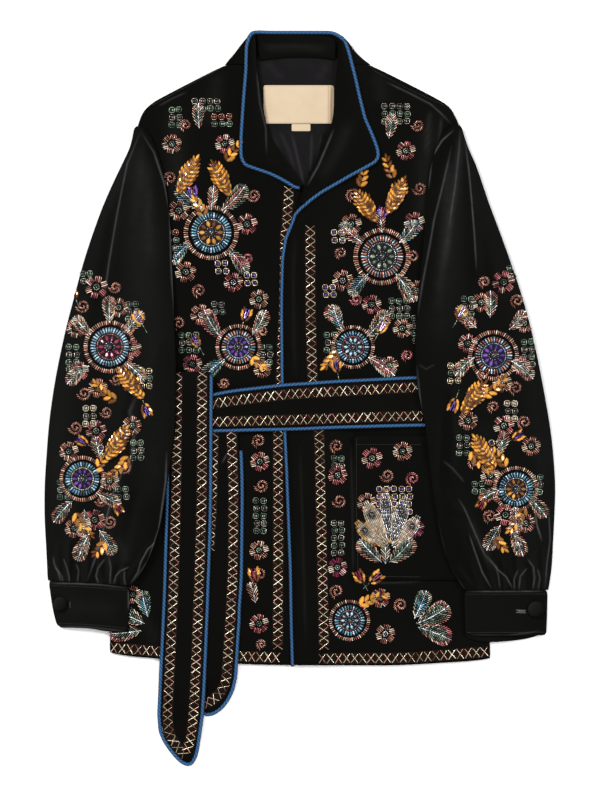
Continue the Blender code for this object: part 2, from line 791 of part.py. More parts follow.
cloth("pocket_right", POCKET, 8, 10, ["front_right"], loft=0.4)

# The belt: its short end, the part round the waist and its long end.
FRONTS = ["back", "front_left", "front_right", "pocket_right"]
lapel_edge = outer_route(list(GRIDS["lapel_right"][:, -1]), PIPE_COLLAR, 1.0)
edge = GRIDS["front_right"][:, 0]
front_edge = outer_route([p for p in edge if p[1] < 214.0], PIPE_FRONT, -1.0)
cord("piping_front", between_ends(lapel_edge[-1], front_edge[0], CORD_MEETING) + front_edge, PIPE_FRONT)
cloth("belt_end_short", BELT_SHORT, 3, 22, FRONTS, thick=BELT_CLOTH, tip=-329.0)
short_grid = GRIDS["belt_end_short"]
around_short = list(short_grid[3:, -1]) + list(short_grid[-1, -2:0:-1]) + list(short_grid[:-3:-1, 0])
cord("piping_end_short", outer_route(around_short, PIPE_BELT, 1.0), PIPE_BELT)
cloth("belt_waist", BELT_WAIST, 3, 0, FRONTS + ["belt_end_short", "belt_back", "piping_front"],
      thick=BELT_CLOTH, along="X", ends=BELT_SIDES, gap=CORD_GAP)
seen = slice(4, 27)
cord("piping_belt_upper", outer_route(list(GRIDS["belt_waist"][seen, -1]), PIPE_BELT, 1.0), PIPE_BELT)
cord("piping_belt_lower", outer_route(list(GRIDS["belt_waist"][seen, 0]), PIPE_BELT, -1.0), PIPE_BELT)
BELT_LAYERS = ["belt_end_short", "piping_end_short", "belt_waist", "piping_belt_upper", "piping_belt_lower"]
cloth("belt_end_long", BELT_LONG, 3, 28, FRONTS + BELT_LAYERS, thick=BELT_CLOTH, gap=CORD_GAP, tip=-369.0)
long_grid = GRIDS["belt_end_long"]
around_long = list(long_grid[:, 0]) + list(long_grid[-1, 1:-1]) + list(long_grid[::-1, -1])
cord("piping_end_long", outer_route(around_long, PIPE_BELT, -1.0), PIPE_BELT)

# The sleeves and cuffs: under sides first.
BODY_LAYERS = FRONTS + BELT_LAYERS + ["belt_back", "belt_end_long", "piping_end_long"]
UNDER_LEFT = BODY_LAYERS + ["sleeve_under_left"]
UNDER_RIGHT = BODY_LAYERS + ["sleeve_under_right"]
cloth("sleeve_under_left", SLEEVE_UNDER_LEFT, 6, 19, BODY_LAYERS)
cloth("sleeve_under_right", SLEEVE_UNDER_RIGHT, 6, 19, BODY_LAYERS)
cloth("sleeve_upper_left", SLEEVE_LEFT, 16, 23, UNDER_LEFT, foot=SLEEVE_LEFT_FOOT, blend=FOOT_BLEND, loft=1.3,
      ridges=SLEEVE_LEFT_RIDGES, gathers=GATHERS_LEFT, curve=SLEEVE_HEAD)
cloth("sleeve_upper_right", SLEEVE_RIGHT, 16, 23, UNDER_RIGHT, loft=1.3,
      ridges=SLEEVE_RIGHT_RIDGES, gathers=GATHERS_RIGHT, curve=SLEEVE_HEAD)
cloth("cuff_under_left", CUFF_UNDER_LEFT, 5, 3, BODY_LAYERS)
cloth("cuff_under_right", CUFF_UNDER_RIGHT, 5, 3, BODY_LAYERS, foot=CUFF_UNDER_RIGHT_FOOT, blend=0.4)
cloth("cuff_upper_left", CUFF_LEFT, 6, 3, BODY_LAYERS + ["cuff_under_left"], head=CUFF_LEFT_TOP,
      foot=CUFF_LEFT_FOOT, blend=0.5, loft=0.8)
cloth("cuff_upper_right", CUFF_RIGHT, 6, 3, BODY_LAYERS + ["cuff_under_right"], loft=0.8)
for name, x, y, radius, cuff in BUTTONS:
    button(name, x, y, radius, cuff)

# The piping beside the collar and lapels.
left_free = list(GRIDS["lapel_left"][:, 0]) + list(GRIDS["lapel_left"][-1, 1:2])
neck_edge = outer_route(list(GRIDS["collar_stand"][0]), PIPE_COLLAR, 1.0)
left_edge = outer_route(left_free, PIPE_COLLAR, -1.0)
from_left = between_ends(left_edge[0], neck_edge[0], CORD_CORNER_LEFT)
to_right = between_ends(neck_edge[-1], lapel_edge[0], CORD_CORNER_RIGHT)
cord("piping_lapel_left", left_edge, PIPE_COLLAR)
cord("piping_lapel_right", lapel_edge, PIPE_COLLAR)
cord("piping_collar", from_left + neck_edge + to_right, PIPE_COLLAR)

# Raised appliques in a plain pattern of lobed medallions and pointed leaves.
for name, x, y, radius, rise, on in MEDALLIONS:
    turns = np.arange(MEDALLION_SIDES) * 2 * np.pi / MEDALLION_SIDES
    radii = radius * (1 + LOBE_SHARE * np.cos(MEDALLION_LOBES * turns))
    outline = [(r * np.cos(a), r * np.sin(a)) for r, a in zip(radii, turns)]
    low_dome(name, outline, rise, on, "teal", (x, y))
for name, x, y, half_length, half_width, degrees, rise, on in LEAVES:
    turns = np.arange(LEAF_SIDES) * 2 * np.pi / LEAF_SIDES
    turn = np.radians(degrees)
    along = half_length * np.cos(turns)
    aside = half_width * np.sin(turns) * (1 - LEAF_TAPER * np.abs(np.cos(turns)))
    across = along * np.cos(turn) - aside * np.sin(turn)
    upward = along * np.sin(turn) + aside * np.cos(turn)
    outline = list(zip(across, upward))
    low_dome(name, outline, rise, on, "amber", (x, y))

# The whole jacket is moved so that its box has its bottom middle at the origin.
corners = np.array([piece.location + Vector(c) for piece in JACKET.objects for c in piece.bound_box])
low, high = corners.min(axis=0), corners.max(axis=0)
shift = Vector(((low[0] + high[0]) / 2, (low[1] + high[1]) / 2, low[2]))
for piece in JACKET.objects:
    piece.location -= shift
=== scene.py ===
"""Looks for the belted velvet jacket: velvet, satin, cords, cross-stitch rods and beadwork."""

import heapq
import math
import random

import bmesh
import bpy
import numpy as np
from mathutils import Matrix, Vector
from mathutils.bvhtree import BVHTree


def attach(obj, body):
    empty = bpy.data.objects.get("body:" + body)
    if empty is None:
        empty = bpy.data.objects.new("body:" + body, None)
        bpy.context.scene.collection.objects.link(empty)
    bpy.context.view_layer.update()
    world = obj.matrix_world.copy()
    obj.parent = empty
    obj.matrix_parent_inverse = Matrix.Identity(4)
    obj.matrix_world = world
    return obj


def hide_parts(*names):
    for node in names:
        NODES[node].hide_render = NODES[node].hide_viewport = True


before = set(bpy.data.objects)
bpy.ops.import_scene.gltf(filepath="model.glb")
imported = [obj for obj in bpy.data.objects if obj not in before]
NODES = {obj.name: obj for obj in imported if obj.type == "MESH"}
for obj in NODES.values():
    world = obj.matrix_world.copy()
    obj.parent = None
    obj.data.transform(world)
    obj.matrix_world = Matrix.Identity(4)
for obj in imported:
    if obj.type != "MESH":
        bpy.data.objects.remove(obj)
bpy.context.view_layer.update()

MM = 0.001
# The tables are in the same millimetres as the part's, before it was centred on its box.
OFFSET_X = 0.044
OFFSET_Y = -1.837
RAY_FROM = 0.2
WELD = 1e-6
# A face belongs to a panel's rim when its normal points up by no more than this.
STEEP = 0.5
DICE = random.Random(7)

SCENE = bpy.context.scene
SCENE.view_settings.view_transform = "Standard"


def at(x, y):
    """A table place in metres, in the frame."""
    return (x + OFFSET_X) * MM, (y + OFFSET_Y) * MM


# Materials


def base_material(name, colour, roughness, metallic=0.0, sheen=0.0, coat=0.0, specular=0.5):
    """A new material of one colour, its node tree and its shader."""
    material = bpy.data.materials.new(name)
    material.use_nodes = True
    tree = material.node_tree
    shader = tree.nodes["Principled BSDF"]
    values = {
        "Base Color": (*colour, 1.0),
        "Roughness": roughness,
        "Metallic": metallic,
        "Sheen Weight": sheen,
        "Sheen Roughness": 0.4,
        "Coat Weight": coat,
        "Specular IOR Level": specular,
    }
    for key, value in values.items():
        shader.inputs[key].default_value = value
    return material, tree, shader


def link(tree, a, b):
    """Joins an output to an input."""
    tree.links.new(a, b)


def add(tree, kind, inputs, **settings):
    """A new shader node; each of its inputs is given as a number, a colour or another node's output."""
    node = tree.nodes.new(kind)
    for name, value in settings.items():
        setattr(node, name, value)
    for key, value in inputs.items():
        if isinstance(value, bpy.types.NodeSocket):
            link(tree, value, node.inputs[key])
        else:
            node.inputs[key].default_value = value
    return node


NOISE_ROUGHNESS = 0.55


def noise(tree, scale, detail, stretch=(1.0, 1.0, 1.0)):
    """Noise in the piece's own coordinates."""
    place = add(tree, "ShaderNodeTexCoord", {}).outputs["Object"]
    place = add(tree, "ShaderNodeMapping", {"Vector": place, "Scale": stretch}).outputs["Vector"]
    inputs = {"Vector": place, "Scale": scale, "Detail": detail, "Roughness": NOISE_ROUGHNESS}
    return add(tree, "ShaderNodeTexNoise", inputs).outputs["Fac"]


def between(tree, value, low, high):
    """How far a value is on its way from low to high, from 0 to 1."""
    inputs = {"Value": value, "From Min": low, "From Max": high}
    return add(tree, "ShaderNodeMapRange", inputs).outputs["Result"]


def blend(tree, share, a, b):
    """Two colours with alpha, mixed by a share."""
    return add(tree, "ShaderNodeMix", {"Factor": share, "A": a, "B": b}, data_type="RGBA").outputs["Result"]


def ramp(tree, value, low, high, a, b):
    """Colours a and b, mixed where a value runs from low to high."""
    return blend(tree, between(tree, value, low, high), (*a, 1.0), (*b, 1.0))


def calculated(tree, operation, *values):
    """The result of a calculation with numbers or other nodes' outputs."""
    return add(tree, "ShaderNodeMath", dict(enumerate(values)), operation=operation).outputs["Value"]


def scaled(tree, value, factor, more):
    """value * factor + more, where more is another value or a number."""
    return calculated(tree, "MULTIPLY_ADD", value, factor, more)


def bump(tree, shader, height, distance, strength, under=None):
    """Relief on a shader from a height value, on top of another relief where there is one."""
    inputs = {"Height": height, "Distance": distance, "Strength": strength}
    if under is not None:
        inputs["Normal"] = under
    normal = add(tree, "ShaderNodeBump", inputs).outputs["Normal"]
    link(tree, normal, shader.inputs["Normal"])
    return normal


def lit_lines(tree):
    """The lines of painted light that a mesh carries: painted highlights and painted shade on folds of cloth,
    the painted tone of the plies on a cord.
    """
    return add(tree, "ShaderNodeAttribute", {}, attribute_name="lit").outputs["Fac"]


# The painted lit tone of the pile, reached where its painted light and painted highlights are full.
PILE_LIT = (0.075, 0.075, 0.076)


def velvet(name, dark, lit_direction, low, high, share):
    """Cut pile with painted light: its tone is lighter where it faces a fixed lit direction, in broad
    patches, and it has painted highlights on the lit lines of its folds.
    """
    material, tree, shader = base_material(name, dark, 0.9, specular=0.04)
    facing = add(tree, "ShaderNodeNewGeometry", {}).outputs["Normal"]
    # Painted light: the pile is painted lighter where its normal leans towards the lit direction.
    lean = add(tree, "ShaderNodeVectorMath", {0: facing, 1: lit_direction}, operation="DOT_PRODUCT").outputs["Value"]
    tone = scaled(tree, noise(tree, 9.0, 2.0), 0.30, lean)
    tone = scaled(tree, noise(tree, 60.0, 3.0, (1.0, 0.25, 1.0)), 0.06, tone)
    broken = scaled(tree, noise(tree, 130.0, 3.0), 0.9, 0.55)
    uneven = calculated(tree, "MULTIPLY", lit_lines(tree), broken)
    total = scaled(tree, between(tree, tone, low, high), share, uneven)
    link(tree, ramp(tree, total, 0.0, 1.0, dark, PILE_LIT), shader.inputs["Base Color"])
    soft = bump(tree, shader, noise(tree, 22.0, 2.0), 0.004, 0.35)
    bump(tree, shader, noise(tree, 1600.0, 2.0), 0.0003, 0.5, soft)
    return material


def woven(name, colour, other, roughness, threads, depth, lit=None, specular=0.12):
    """Plain woven cloth with crossing threads, and the lit lines of its folds painted in a colour of their
    own where it has them: a painted highlight on the satin, painted shade on the label.
    """
    material, tree, shader = base_material(name, colour, roughness, specular=specular)
    tone = ramp(tree, noise(tree, 40.0, 4.0), 0.35, 0.7, colour, other)
    if lit:
        tone = blend(tree, lit_lines(tree), tone, (*lit, 1.0))
    link(tree, tone, shader.inputs["Base Color"])
    place = add(tree, "ShaderNodeTexCoord", {}).outputs["Object"]
    inputs = {"Vector": place, "Scale": threads, "Distortion": 0.6}
    warp = add(tree, "ShaderNodeTexWave", inputs, bands_direction="X").outputs["Fac"]
    weft = add(tree, "ShaderNodeTexWave", inputs, bands_direction="Y").outputs["Fac"]
    bump(tree, shader, calculated(tree, "MAXIMUM", warp, weft), depth, 0.6)
    return material


def thread(name, colour, other, roughness=0.6, sheen=0.3):
    """Twisted yarn: fine fibres along it, two close tones."""
    material, tree, shader = base_material(name, colour, roughness, sheen=sheen)
    link(tree, ramp(tree, noise(tree, 700.0, 3.0), 0.35, 0.65, colour, other), shader.inputs["Base Color"])
    bump(tree, shader, noise(tree, 2600.0, 2.0), 0.0002, 0.5)
    return material


def bead_look(name, dark, bright, metallic=0.55, roughness=0.2, coat=0.6):
    """Glass or metal beads: each one has its own tone between two, and a fine uneven surface."""
    material, tree, shader = base_material(name, dark, roughness, metallic, coat=coat)
    shader.inputs["Coat Roughness"].default_value = 0.08
    each = add(tree, "ShaderNodeNewGeometry", {}).outputs["Random Per Island"]
    link(tree, ramp(tree, each, 0.25, 1.0, dark, bright), shader.inputs["Base Color"])
    bump(tree, shader, noise(tree, 900.0, 2.0), 0.0002, 0.25)
    return material


def piping(name, groove_shade, bright):
    """Twisted cord with painted light: painted shade in the groove, rising to a painted highlight on the
    ridge of each ply.
    """
    material, tree, shader = base_material(name, groove_shade, 0.6, specular=0.2)
    tone = scaled(tree, noise(tree, 900.0, 3.0), 0.4, lit_lines(tree))
    link(tree, ramp(tree, tone, 0.35, 1.0, groove_shade, bright), shader.inputs["Base Color"])
    bump(tree, shader, noise(tree, 2600.0, 2.0), 0.0002, 0.5)
    return material


VELVETS = {
    # name: dark colour, direction of its painted light, the lean towards it where the painted lighter tone
    # starts, where it is full, its share
    "body": ((0.0014, 0.00135, 0.0009), (0.8, 0.3, 0.3), 0.38, 0.75, 0.02),
    # The two sleeve velvets have their painted light coming from mirrored sides.
    "sleeve": ((0.0017, 0.0017, 0.0014), (-1.2, 0.25, 0.3), 0.30, 0.95, 0.035),
    "sleeve_right": ((0.0016, 0.0016, 0.0013), (1.2, 0.3, 0.3), 0.34, 0.98, 0.035),
    "cuff": ((0.0021, 0.0020, 0.0016), (-0.7, 0.4, 0.3), 0.30, 0.80, 0.03),
    "belt": ((0.0015, 0.0014, 0.0010), (0.5, 0.5, 0.3), 0.38, 0.80, 0.02),
    "button": ((0.0016, 0.0016, 0.0015), (-0.9, 0.7, 0.3), 0.1, 1.2, 0.12),
}
PILE = {name: velvet("velvet_" + name, *row) for name, row in VELVETS.items()}
CLOTHS = {
    **PILE,
    # The third colour of the satin is the painted highlight of its lit lines; that of the label is the
    # painted shade of its curled end.
    "satin": woven("satin_lining", (0.0024, 0.0020, 0.0024), (0.0040, 0.0034, 0.0040), 0.45, 900.0, 0.00008,
                   (0.018, 0.016, 0.018), 0.05),
    "label": woven("woven_label", (0.49, 0.39, 0.27), (0.455, 0.36, 0.245), 0.8, 420.0, 0.0002,
                   (0.24, 0.16, 0.09)),
}
BAND = woven("trim_band", (0.0060, 0.0022, 0.0012), (0.0035, 0.0016, 0.0010), 0.9, 500.0, 0.0002)
BASE_LOOK = woven("applique_base", (0.005, 0.007, 0.009), (0.008, 0.005, 0.008), 0.7, 500.0, 0.0002)
# The cord's two colours are its painted groove shade and its painted ridge highlight.
CORD = piping("piping_cord", (0.005, 0.024, 0.070), (0.022, 0.092, 0.215))
# A dark blue flange under each cord: painted shade for the cord's shaded edge.
CORD_SHADE_EDGE = thread("cord_shade_edge", (0.0016, 0.0050, 0.0160), (0.0030, 0.0100, 0.0300), 0.8, 0.0)
THREADS = {
    # look of the stitches: material
    "grey": thread("buttonhole_thread", (0.10, 0.10, 0.11), (0.16, 0.16, 0.17)),
    "velvet": thread("buttonhole_dark", (0.020, 0.020, 0.021), (0.034, 0.034, 0.035)),
    "label": thread("label_thread", (0.46, 0.35, 0.23), (0.40, 0.30, 0.19)),
    "dark": thread("velvet_thread", (0.004, 0.004, 0.004), (0.010, 0.010, 0.010), 0.7, 0.1),
}
LEAF_LOOK = bead_look("leaf_base", (0.07, 0.020, 0.002), (0.16, 0.05, 0.005), 0.3, 0.4, 0.2)
BEAD_TONES = {
    # look: darkest tone, brightest tone, metallic, roughness, coat
    "gold": ((0.34, 0.26, 0.15), (0.86, 0.74, 0.52), 0.7, 0.25, 0.6),
    "copper": ((0.14, 0.045, 0.028), (0.58, 0.27, 0.19), 0.7, 0.28, 0.6),
    "rose": ((0.12, 0.014, 0.018), (0.60, 0.18, 0.17), 0.5, 0.26, 0.6),
    "amber": ((0.11, 0.030, 0.002), (0.95, 0.44, 0.06), 0.25, 0.14, 1.0),
    "purple": ((0.045, 0.012, 0.14), (0.22, 0.09, 0.50), 0.3, 0.2, 0.9),
    "teal": ((0.008, 0.040, 0.065), (0.12, 0.36, 0.48), 0.5, 0.2, 0.6),
    "ice": ((0.07, 0.14, 0.20), (0.42, 0.60, 0.72), 0.5, 0.22, 0.6),
    "sage": ((0.020, 0.038, 0.024), (0.28, 0.36, 0.26), 0.5, 0.26, 0.6),
    "silver": ((0.16, 0.16, 0.17), (0.80, 0.80, 0.82), 0.8, 0.24, 0.6),
    "pewter": ((0.05, 0.045, 0.038), (0.42, 0.38, 0.31), 0.7, 0.26, 0.6),
    "crimson": ((0.09, 0.005, 0.02), (0.34, 0.03, 0.09), 0.3, 0.25, 0.6),
    "jet": ((0.003, 0.003, 0.004), (0.010, 0.010, 0.012), 0.3, 0.10, 1.0),
    "cream": ((0.36, 0.28, 0.19), (0.80, 0.70, 0.54), 0.2, 0.3, 0.6),
}
BEADS = {look: bead_look("bead_" + look, *row) for look, row in BEAD_TONES.items()}

# Cloth on the solids

# Creases on the upper sleeves: from across, height, to across, height, half width, rise (all mm).
LEFT_CREASES = (
    (-190, 316, -205, 268, 5, -0.9),
    (-199, 300, -217, 226, 7, 1.3),
    (-181, 292, -190, 212, 6, 1),
    (-172, 268, -176, 168, 7, 0.8),
    (-214, 232, -234, 118, 6, -1),
    (-226, 222, -250, 92, 10, 1.2),
    (-188, 30, -200, -17, 6, -1.1),
    (-200, -17, -196, -64, 6, -1),
    (-166, 60, -176, -40, 9, 1.1),
    (-208, -77, -225, -140, 6, 1.2),
    (-225, -140, -238, -196, 6, 1.3),
    (-190, -110, -206, -172, 6, -0.9),
    (-280, -40, -286, -150, 9, 1.1),
    (-262, -128, -270, -196, 6, 0.9),
    (-172, -168, -206, -216, 4.5, 1.2),
    (-283, -172, -283, -213, 3, 1.1),
    (-276, -186, -277, -213, 2.6, -0.9),
    (-270, -168, -270, -213, 3.2, 1.2),
    (-258, -188, -256, -213, 2.8, -1),
    (-249, -172, -248, -213, 3.2, 1.2),
    (-238, -190, -239, -214, 2.8, -1),
    (-234, -178, -231, -214, 3, 1),
    (-222, -184, -219, -215, 3, 1.1),
    (-213, -196, -209, -216, 2.6, -0.9),
    (-206, -190, -203, -216, 2.6, 0.8),
)
RIGHT_CREASES = (
    (180, 299, 163, 235, 5, 1),
    (188, 317, 185, 262, 5, 1.1),
    (185, 262, 172, 196, 6, 1.2),
    (194, 299, 200, 232, 6, 1.1),
    (200, 232, 206, 150, 7, 0.9),
    (176, 290, 174, 236, 4, -0.8),
    (170, 196, 162, 130, 7, 0.9),
    (214, 214, 232, 120, 9, 1.1),
    (177, 8, 179, -40, 6, 1.1),
    (179, -40, 174, -86, 6, 1),
    (166, -20, 163, -100, 5, -0.9),
    (178, -126, 196, -134, 5, 1),
    (201, -160, 224, -198, 5, 1.2),
    (182, -198, 206, -222, 4, 1.2),
    (212, -184, 226, -219, 3.6, 1.2),
    (221, -184, 246, -214, 3.6, -0.9),
    (236, -190, 238, -222, 3, 1),
    (252, -178, 255, -222, 3.4, 1.2),
    (262, -194, 264, -222, 2.6, -0.8),
    (269, -186, 274, -220, 3, 1.1),
    (283, -176, 284, -222, 3.2, 1),
    (276, -60, 284, -160, 9, 1),
    (240, -40, 246, -150, 10, 0.8),
)
LINING_CREASES = (
    (-36, 310, 0, 252, 5, 0.8),
    (-12, 312, 6, 246, 4, 0.9),
    (10, 312, 10, 252, 4, 0.7),
    (24, 310, 14, 270, 4, 0.8),
    (-40, 392, -30, 372, 4, 0.5),
    (30, 394, 24, 372, 4, 0.5),
)


def crease_rise(points, table):
    """The rise of a table of creases at many points at once, fading with the distance from each line."""
    total = np.zeros(len(points))
    for x0, y0, x1, y1, half_width, rise in table:
        a = np.array(at(x0, y0))
        run = np.array(at(x1, y1)) - a
        share = np.clip(((points - a) @ run) / (run @ run), 0, 1)
        away = np.linalg.norm(points - a - share[:, None] * run, axis=1) / (half_width * MM)
        total += rise * MM * np.exp(-away * away)
    return total


# Painted highlights: lines that catch the light on the pile, each with a half width (mm) and amount, then
# places along them (mm).
LEFT_LIT = (
    (0.9, 0.34, (-186.4, 314.5), (-201.9, 277.3), (-214.3, 215.3), (-223.6, 159.5), (-231, 103.7)),
    (1, 0.46, (-186.4, 314.5), (-170.9, 289.7), (-158.5, 252.5), (-152.3, 221.5),
     (-150.5, 153.3), (-146.1, 91.3)),
    (21, 0.034, (-197, 300), (-191, 240), (-184, 150), (-176, 90)),
    (9, 0.040, (-186, 296), (-178, 230), (-172, 150)),
    (18, 0.022, (-177, 134.7), (-170, 60), (-168, -40), (-180, -130)),
    (2, 0.18, (-189.5, 8), (-198.8, -14), (-192.6, -32.8), (-195.7, -57.6), (-198.8, -88.6)),
    (0.9, 0.42, (-201.9, -73), (-217.4, -107.2), (-229.8, -150.5), (-237.5, -180.2),
     (-246.9, -205.9), (-249.2, -212.9)),
    (6, 0.04, (-206, -80), (-222, -120), (-226, -170), (-224, -205)),
    (0.9, 0.50, (-155.4, -57.6), (-156.7, -94.8), (-164.7, -150.5), (-177.1, -187.7), (-195.7, -214.5)),
    (0.8, 0.55, (-160, -158), (-177.8, -174.3), (-186, -189.5), (-189.5, -201.6), (-198.9, -215.6)),
    (0.8, 0.40, (-289, -182.5), (-287.8, -191.9), (-283.1, -201.2), (-279.6, -213.8)),
    (0.8, 0.38, (-277.3, -184.4), (-272.6, -196.6), (-270.3, -205.9), (-269.6, -214.8)),
    (0.8, 0.34, (-287.8, -194.6), (-282, -201.2), (-278.5, -207.1), (-277.3, -214.5)),
    (0.8, 0.30, (-262, -190), (-259, -200), (-260.5, -215)),
    (0.8, 0.42, (-227.3, -184.4), (-236.3, -196.6), (-238.7, -205.9), (-235.2, -216)),
    (0.8, 0.36, (-223.5, -182.2), (-221.1, -196.6), (-221.8, -206.3), (-222.3, -217.1)),
    (0.8, 0.42, (-199.2, -194.6), (-210.6, -200.1), (-215.3, -205.9), (-217.6, -215.9)),
    (0.8, 0.34, (-204.8, -198.6), (-205.5, -208.6), (-203.6, -217.3)),
    (5, 0.035, (-216, -160), (-206, -174), (-204, -192)),
    (12, 0.015, (-272, -60), (-278, -150)),
)
RIGHT_LIT = (
    (0.9, 0.50, (181.4, 317), (166.5, 304), (154, 284), (150.4, 246.3)),
    (1, 0.34, (178, 300), (168.5, 257.4), (156.8, 210.6), (152, 182), (143, 135), (137, 95)),
    (4, 0.10, (187.2, 316), (186, 292.5), (181.4, 250.4), (176.7, 220), (173.2, 187.2), (168, 150)),
    (0.9, 0.26, (187.2, 318), (186, 292.5), (181.4, 250.4), (176.7, 220), (174.5, 200)),
    (0.8, 0.46, (192, 305), (194.2, 294.8), (197.7, 266.8), (200.5, 234), (204, 191.9), (206.4, 149.8)),
    (6, 0.050, (180, 296), (174, 264.9), (170.5, 215.3), (166, 160), (160, 100)),
    (19, 0.024, (180, 280), (180, 200), (170, 120), (158, 50)),
    (1, 0.12, (138, 42), (147.3, 36), (158, 42)),
    (1, 0.40, (136.2, 41.7), (141.1, -8), (150.4, -82.3), (159.7, -144.4)),
    (0.9, 0.50, (158, -130), (164, -159.1), (170.6, -188.6), (182.1, -208.3), (192.9, -221.4)),
    (1, 0.20, (165.9, -70), (178.3, -80), (192.7, -96.8)),
    (0.9, 0.34, (184, -114), (191.9, -126.4), (208.3, -164), (214.8, -178.8), (221.7, -190)),
    (0.8, 0.44, (196.8, -154.8), (205, -178.8), (213.2, -201.7), (224.6, -221.7)),
    (0.8, 0.44, (217.7, -181.3), (231.2, -198.4), (241, -206.6), (248.6, -220.5)),
    (0.9, 0.60, (271.8, -106.5), (277.1, -146), (283.6, -166)),
    (0.8, 0.36, (291.2, -123.1), (293, -164), (289.2, -191.9), (286.9, -221.7)),
    (0.8, 0.42, (265.2, -184.6), (273.1, -195.2), (274.4, -208.3), (272.1, -222.7)),
    (0.8, 0.40, (266, -196.1), (257.4, -206.3), (255.8, -222.7)),
    (0.8, 0.32, (255.1, -197.3), (250.2, -209.5), (250.8, -222.7)),
    (0.8, 0.32, (278, -196.7), (281, -208.3), (278.7, -222.7)),
    (0.8, 0.26, (228, -190), (232, -206), (234, -222)),
    (5, 0.035, (196, -134), (212, -170), (228, -200)),
    (11, 0.015, (216, -20), (226, -120)),
)
CUFF_LIT = (
    (0.8, 0.45, (-295, -214.6), (-262, -214.8), (-230, -216.4), (-199, -220.2)),
    (0.8, 0.25, (-284, -264.8), (-246, -265.8), (-203, -270.6)),
    (1, 0.35, (-200.6, -222), (-200.6, -246)),
    (0.8, 0.50, (196, -223.6), (240, -223.4), (286, -223.6)),
    (1, 0.22, (198, -275), (240, -276), (284, -270)),
    (9, 0.02, (-284, -240), (-210, -246)),
)
COLLAR_LIT = (
    (1, 0.22, (-51, 388), (-47, 347), (-40, 318), (-39, 286)),
    (1, 0.38, (40, 318), (30.5, 295), (21, 273), (8, 250)),
    (7, 0.035, (60, 330), (44, 290), (22, 256)),
    (4, 0.05, (-46, 412), (-8, 414), (38, 411)),
)
BODY_LIT = (
    (1, 0.30, (100, 373), (130, 358.5), (153.3, 346.3), (166, 335), (178, 322.5)),
    (1, 0.16, (-132, 361), (-150, 353), (-166, 344)),
    (2.2, 0.09, (152.8, 340), (150, 318), (148.6, 286)),
    (1.8, 0.10, (166, 333), (163.8, 312), (160, 292)),
    (10, 0.035, (-150, 346), (-146, 290), (-140, 210)),
    (9, 0.030, (-96, 388), (-100, 350), (-112, 320)),
    (10, 0.035, (152, 340), (146, 270), (140, 190)),
    (9, 0.030, (90, 386), (98, 346)),
    (2, 0.03, (-5, 196), (-8, 150), (-7, 60), (-4, 24)),
    (1.6, 0.04, (0, -48), (3, -150), (7, -292)),
    (1.2, 0.14, (60, -50), (61, -120), (62.5, -214)),
    (1.2, 0.12, (62.5, -214), (110, -214), (146, -212)),
    (8, 0.03, (-190, -246), (-166, -286)),
)
# On the label the same lines are painted shade: the shade of its curled right end and its corners.
LABEL_SHADE = (
    (1.8, 0.9, (37.6, 374), (36.6, 345), (37.4, 318)),
    (0.8, 0.5, (33.6, 378), (33, 345), (33.4, 314)),
    (1.2, 0.5, (-41.8, 372), (-41.4, 345), (-39.6, 322)),
)
# Painted highlight on the belt's fold.
BELT_LIT = (
    (0.9, 0.34, (-92, -75), (-82, -57), (-75.5, -41)),
)
# Painted highlights on the lining's creases.
LINING_LIT = (
    (2, 0.8, (-34, 312), (-20, 284), (0, 250)),
    (1.6, 0.7, (-10, 314), (-2, 280), (6, 246)),
    (1.5, 0.6, (14, 314), (12, 266)),
    (2.4, 0.35, (-24, 316), (-12, 290), (-6, 268)),
    (1.4, 0.5, (26, 312), (20, 284), (14, 262)),
    (3, 0.25, (-40, 396), (-20, 376)),
    (3, 0.25, (34, 396), (22, 374)),
)

# A lit line fades out over this share of its length at both ends.
LIT_FADE = 0.18
# How sharp the rims of a panel and the corners of a cuff stay, from 0 to 1.
RIM_CREASE = 0.75
CUFF_CORNER = 0.35
# How unlike in angle and in shape two triangles may be and still be joined (radians).
FLAT_JOIN = {"angle_face_threshold": 0.6, "angle_shape_threshold": 1.2}
RIM_JOIN = {"angle_face_threshold": 0.3, "angle_shape_threshold": 3.1}
# A cuff's upper edge reaches up this far under the gathers, fading over the second height (mm).
SEAM_REACH = 1.1
SEAM_FADE = 3.0
# Faces whose normals point up more than UPPER are made finer near lit lines thinner than THIN_LINE, within
# each distance of FINER_REACH in turn, where their edges are longer than FINE_EDGE (mm).
UPPER = 0.3
THIN_LINE = 2.1
FINER_REACH = (4.5, 2.4)
FINE_EDGE = 0.95
SKINS = {}


def along_line(points, places):
    """How far many points lie from a line through some places, and at what share of its length."""
    places = np.array([at(*q) for q in places])
    lengths = np.linalg.norm(np.diff(places, axis=0), axis=1)
    before = np.concatenate([[0], np.cumsum(lengths)])
    best, best_share = np.full(len(points), 1e9), np.zeros(len(points))
    for k, (a, b) in enumerate(zip(places, places[1:])):
        run = b - a
        share = np.clip(((points - a) @ run) / (run @ run), 0.0, 1.0)
        away = np.linalg.norm(points - a - share[:, None] * run, axis=1)
        nearer = away < best
        best[nearer] = away[nearer]
        best_share[nearer] = ((before[k] + share * lengths[k]) / before[-1])[nearer]
    return best, best_share


def lit_of(points, table):
    """How much each of many points lies on the lit lines of a table, fading to both ends of a line."""
    total = np.zeros(len(points))
    for half_width, amount, *places in table:
        away, share = along_line(points, places)
        fade = np.clip(np.minimum(share, 1 - share) / LIT_FADE, 0.0, 1.0)
        total += amount * fade * np.exp(-(away / (half_width * MM)) ** 2)
    return total


def seam_reach(points, line):
    """How far the places near a cuff's upper edge reach up, so that it meets the gathers with no gap."""
    edge = np.array([at(*q) for q in line])
    away = (np.interp(points[:, 0], edge[:, 0], edge[:, 1]) - points[:, 1]) / (SEAM_FADE * MM)
    return SEAM_REACH * MM * np.exp(-away * away)


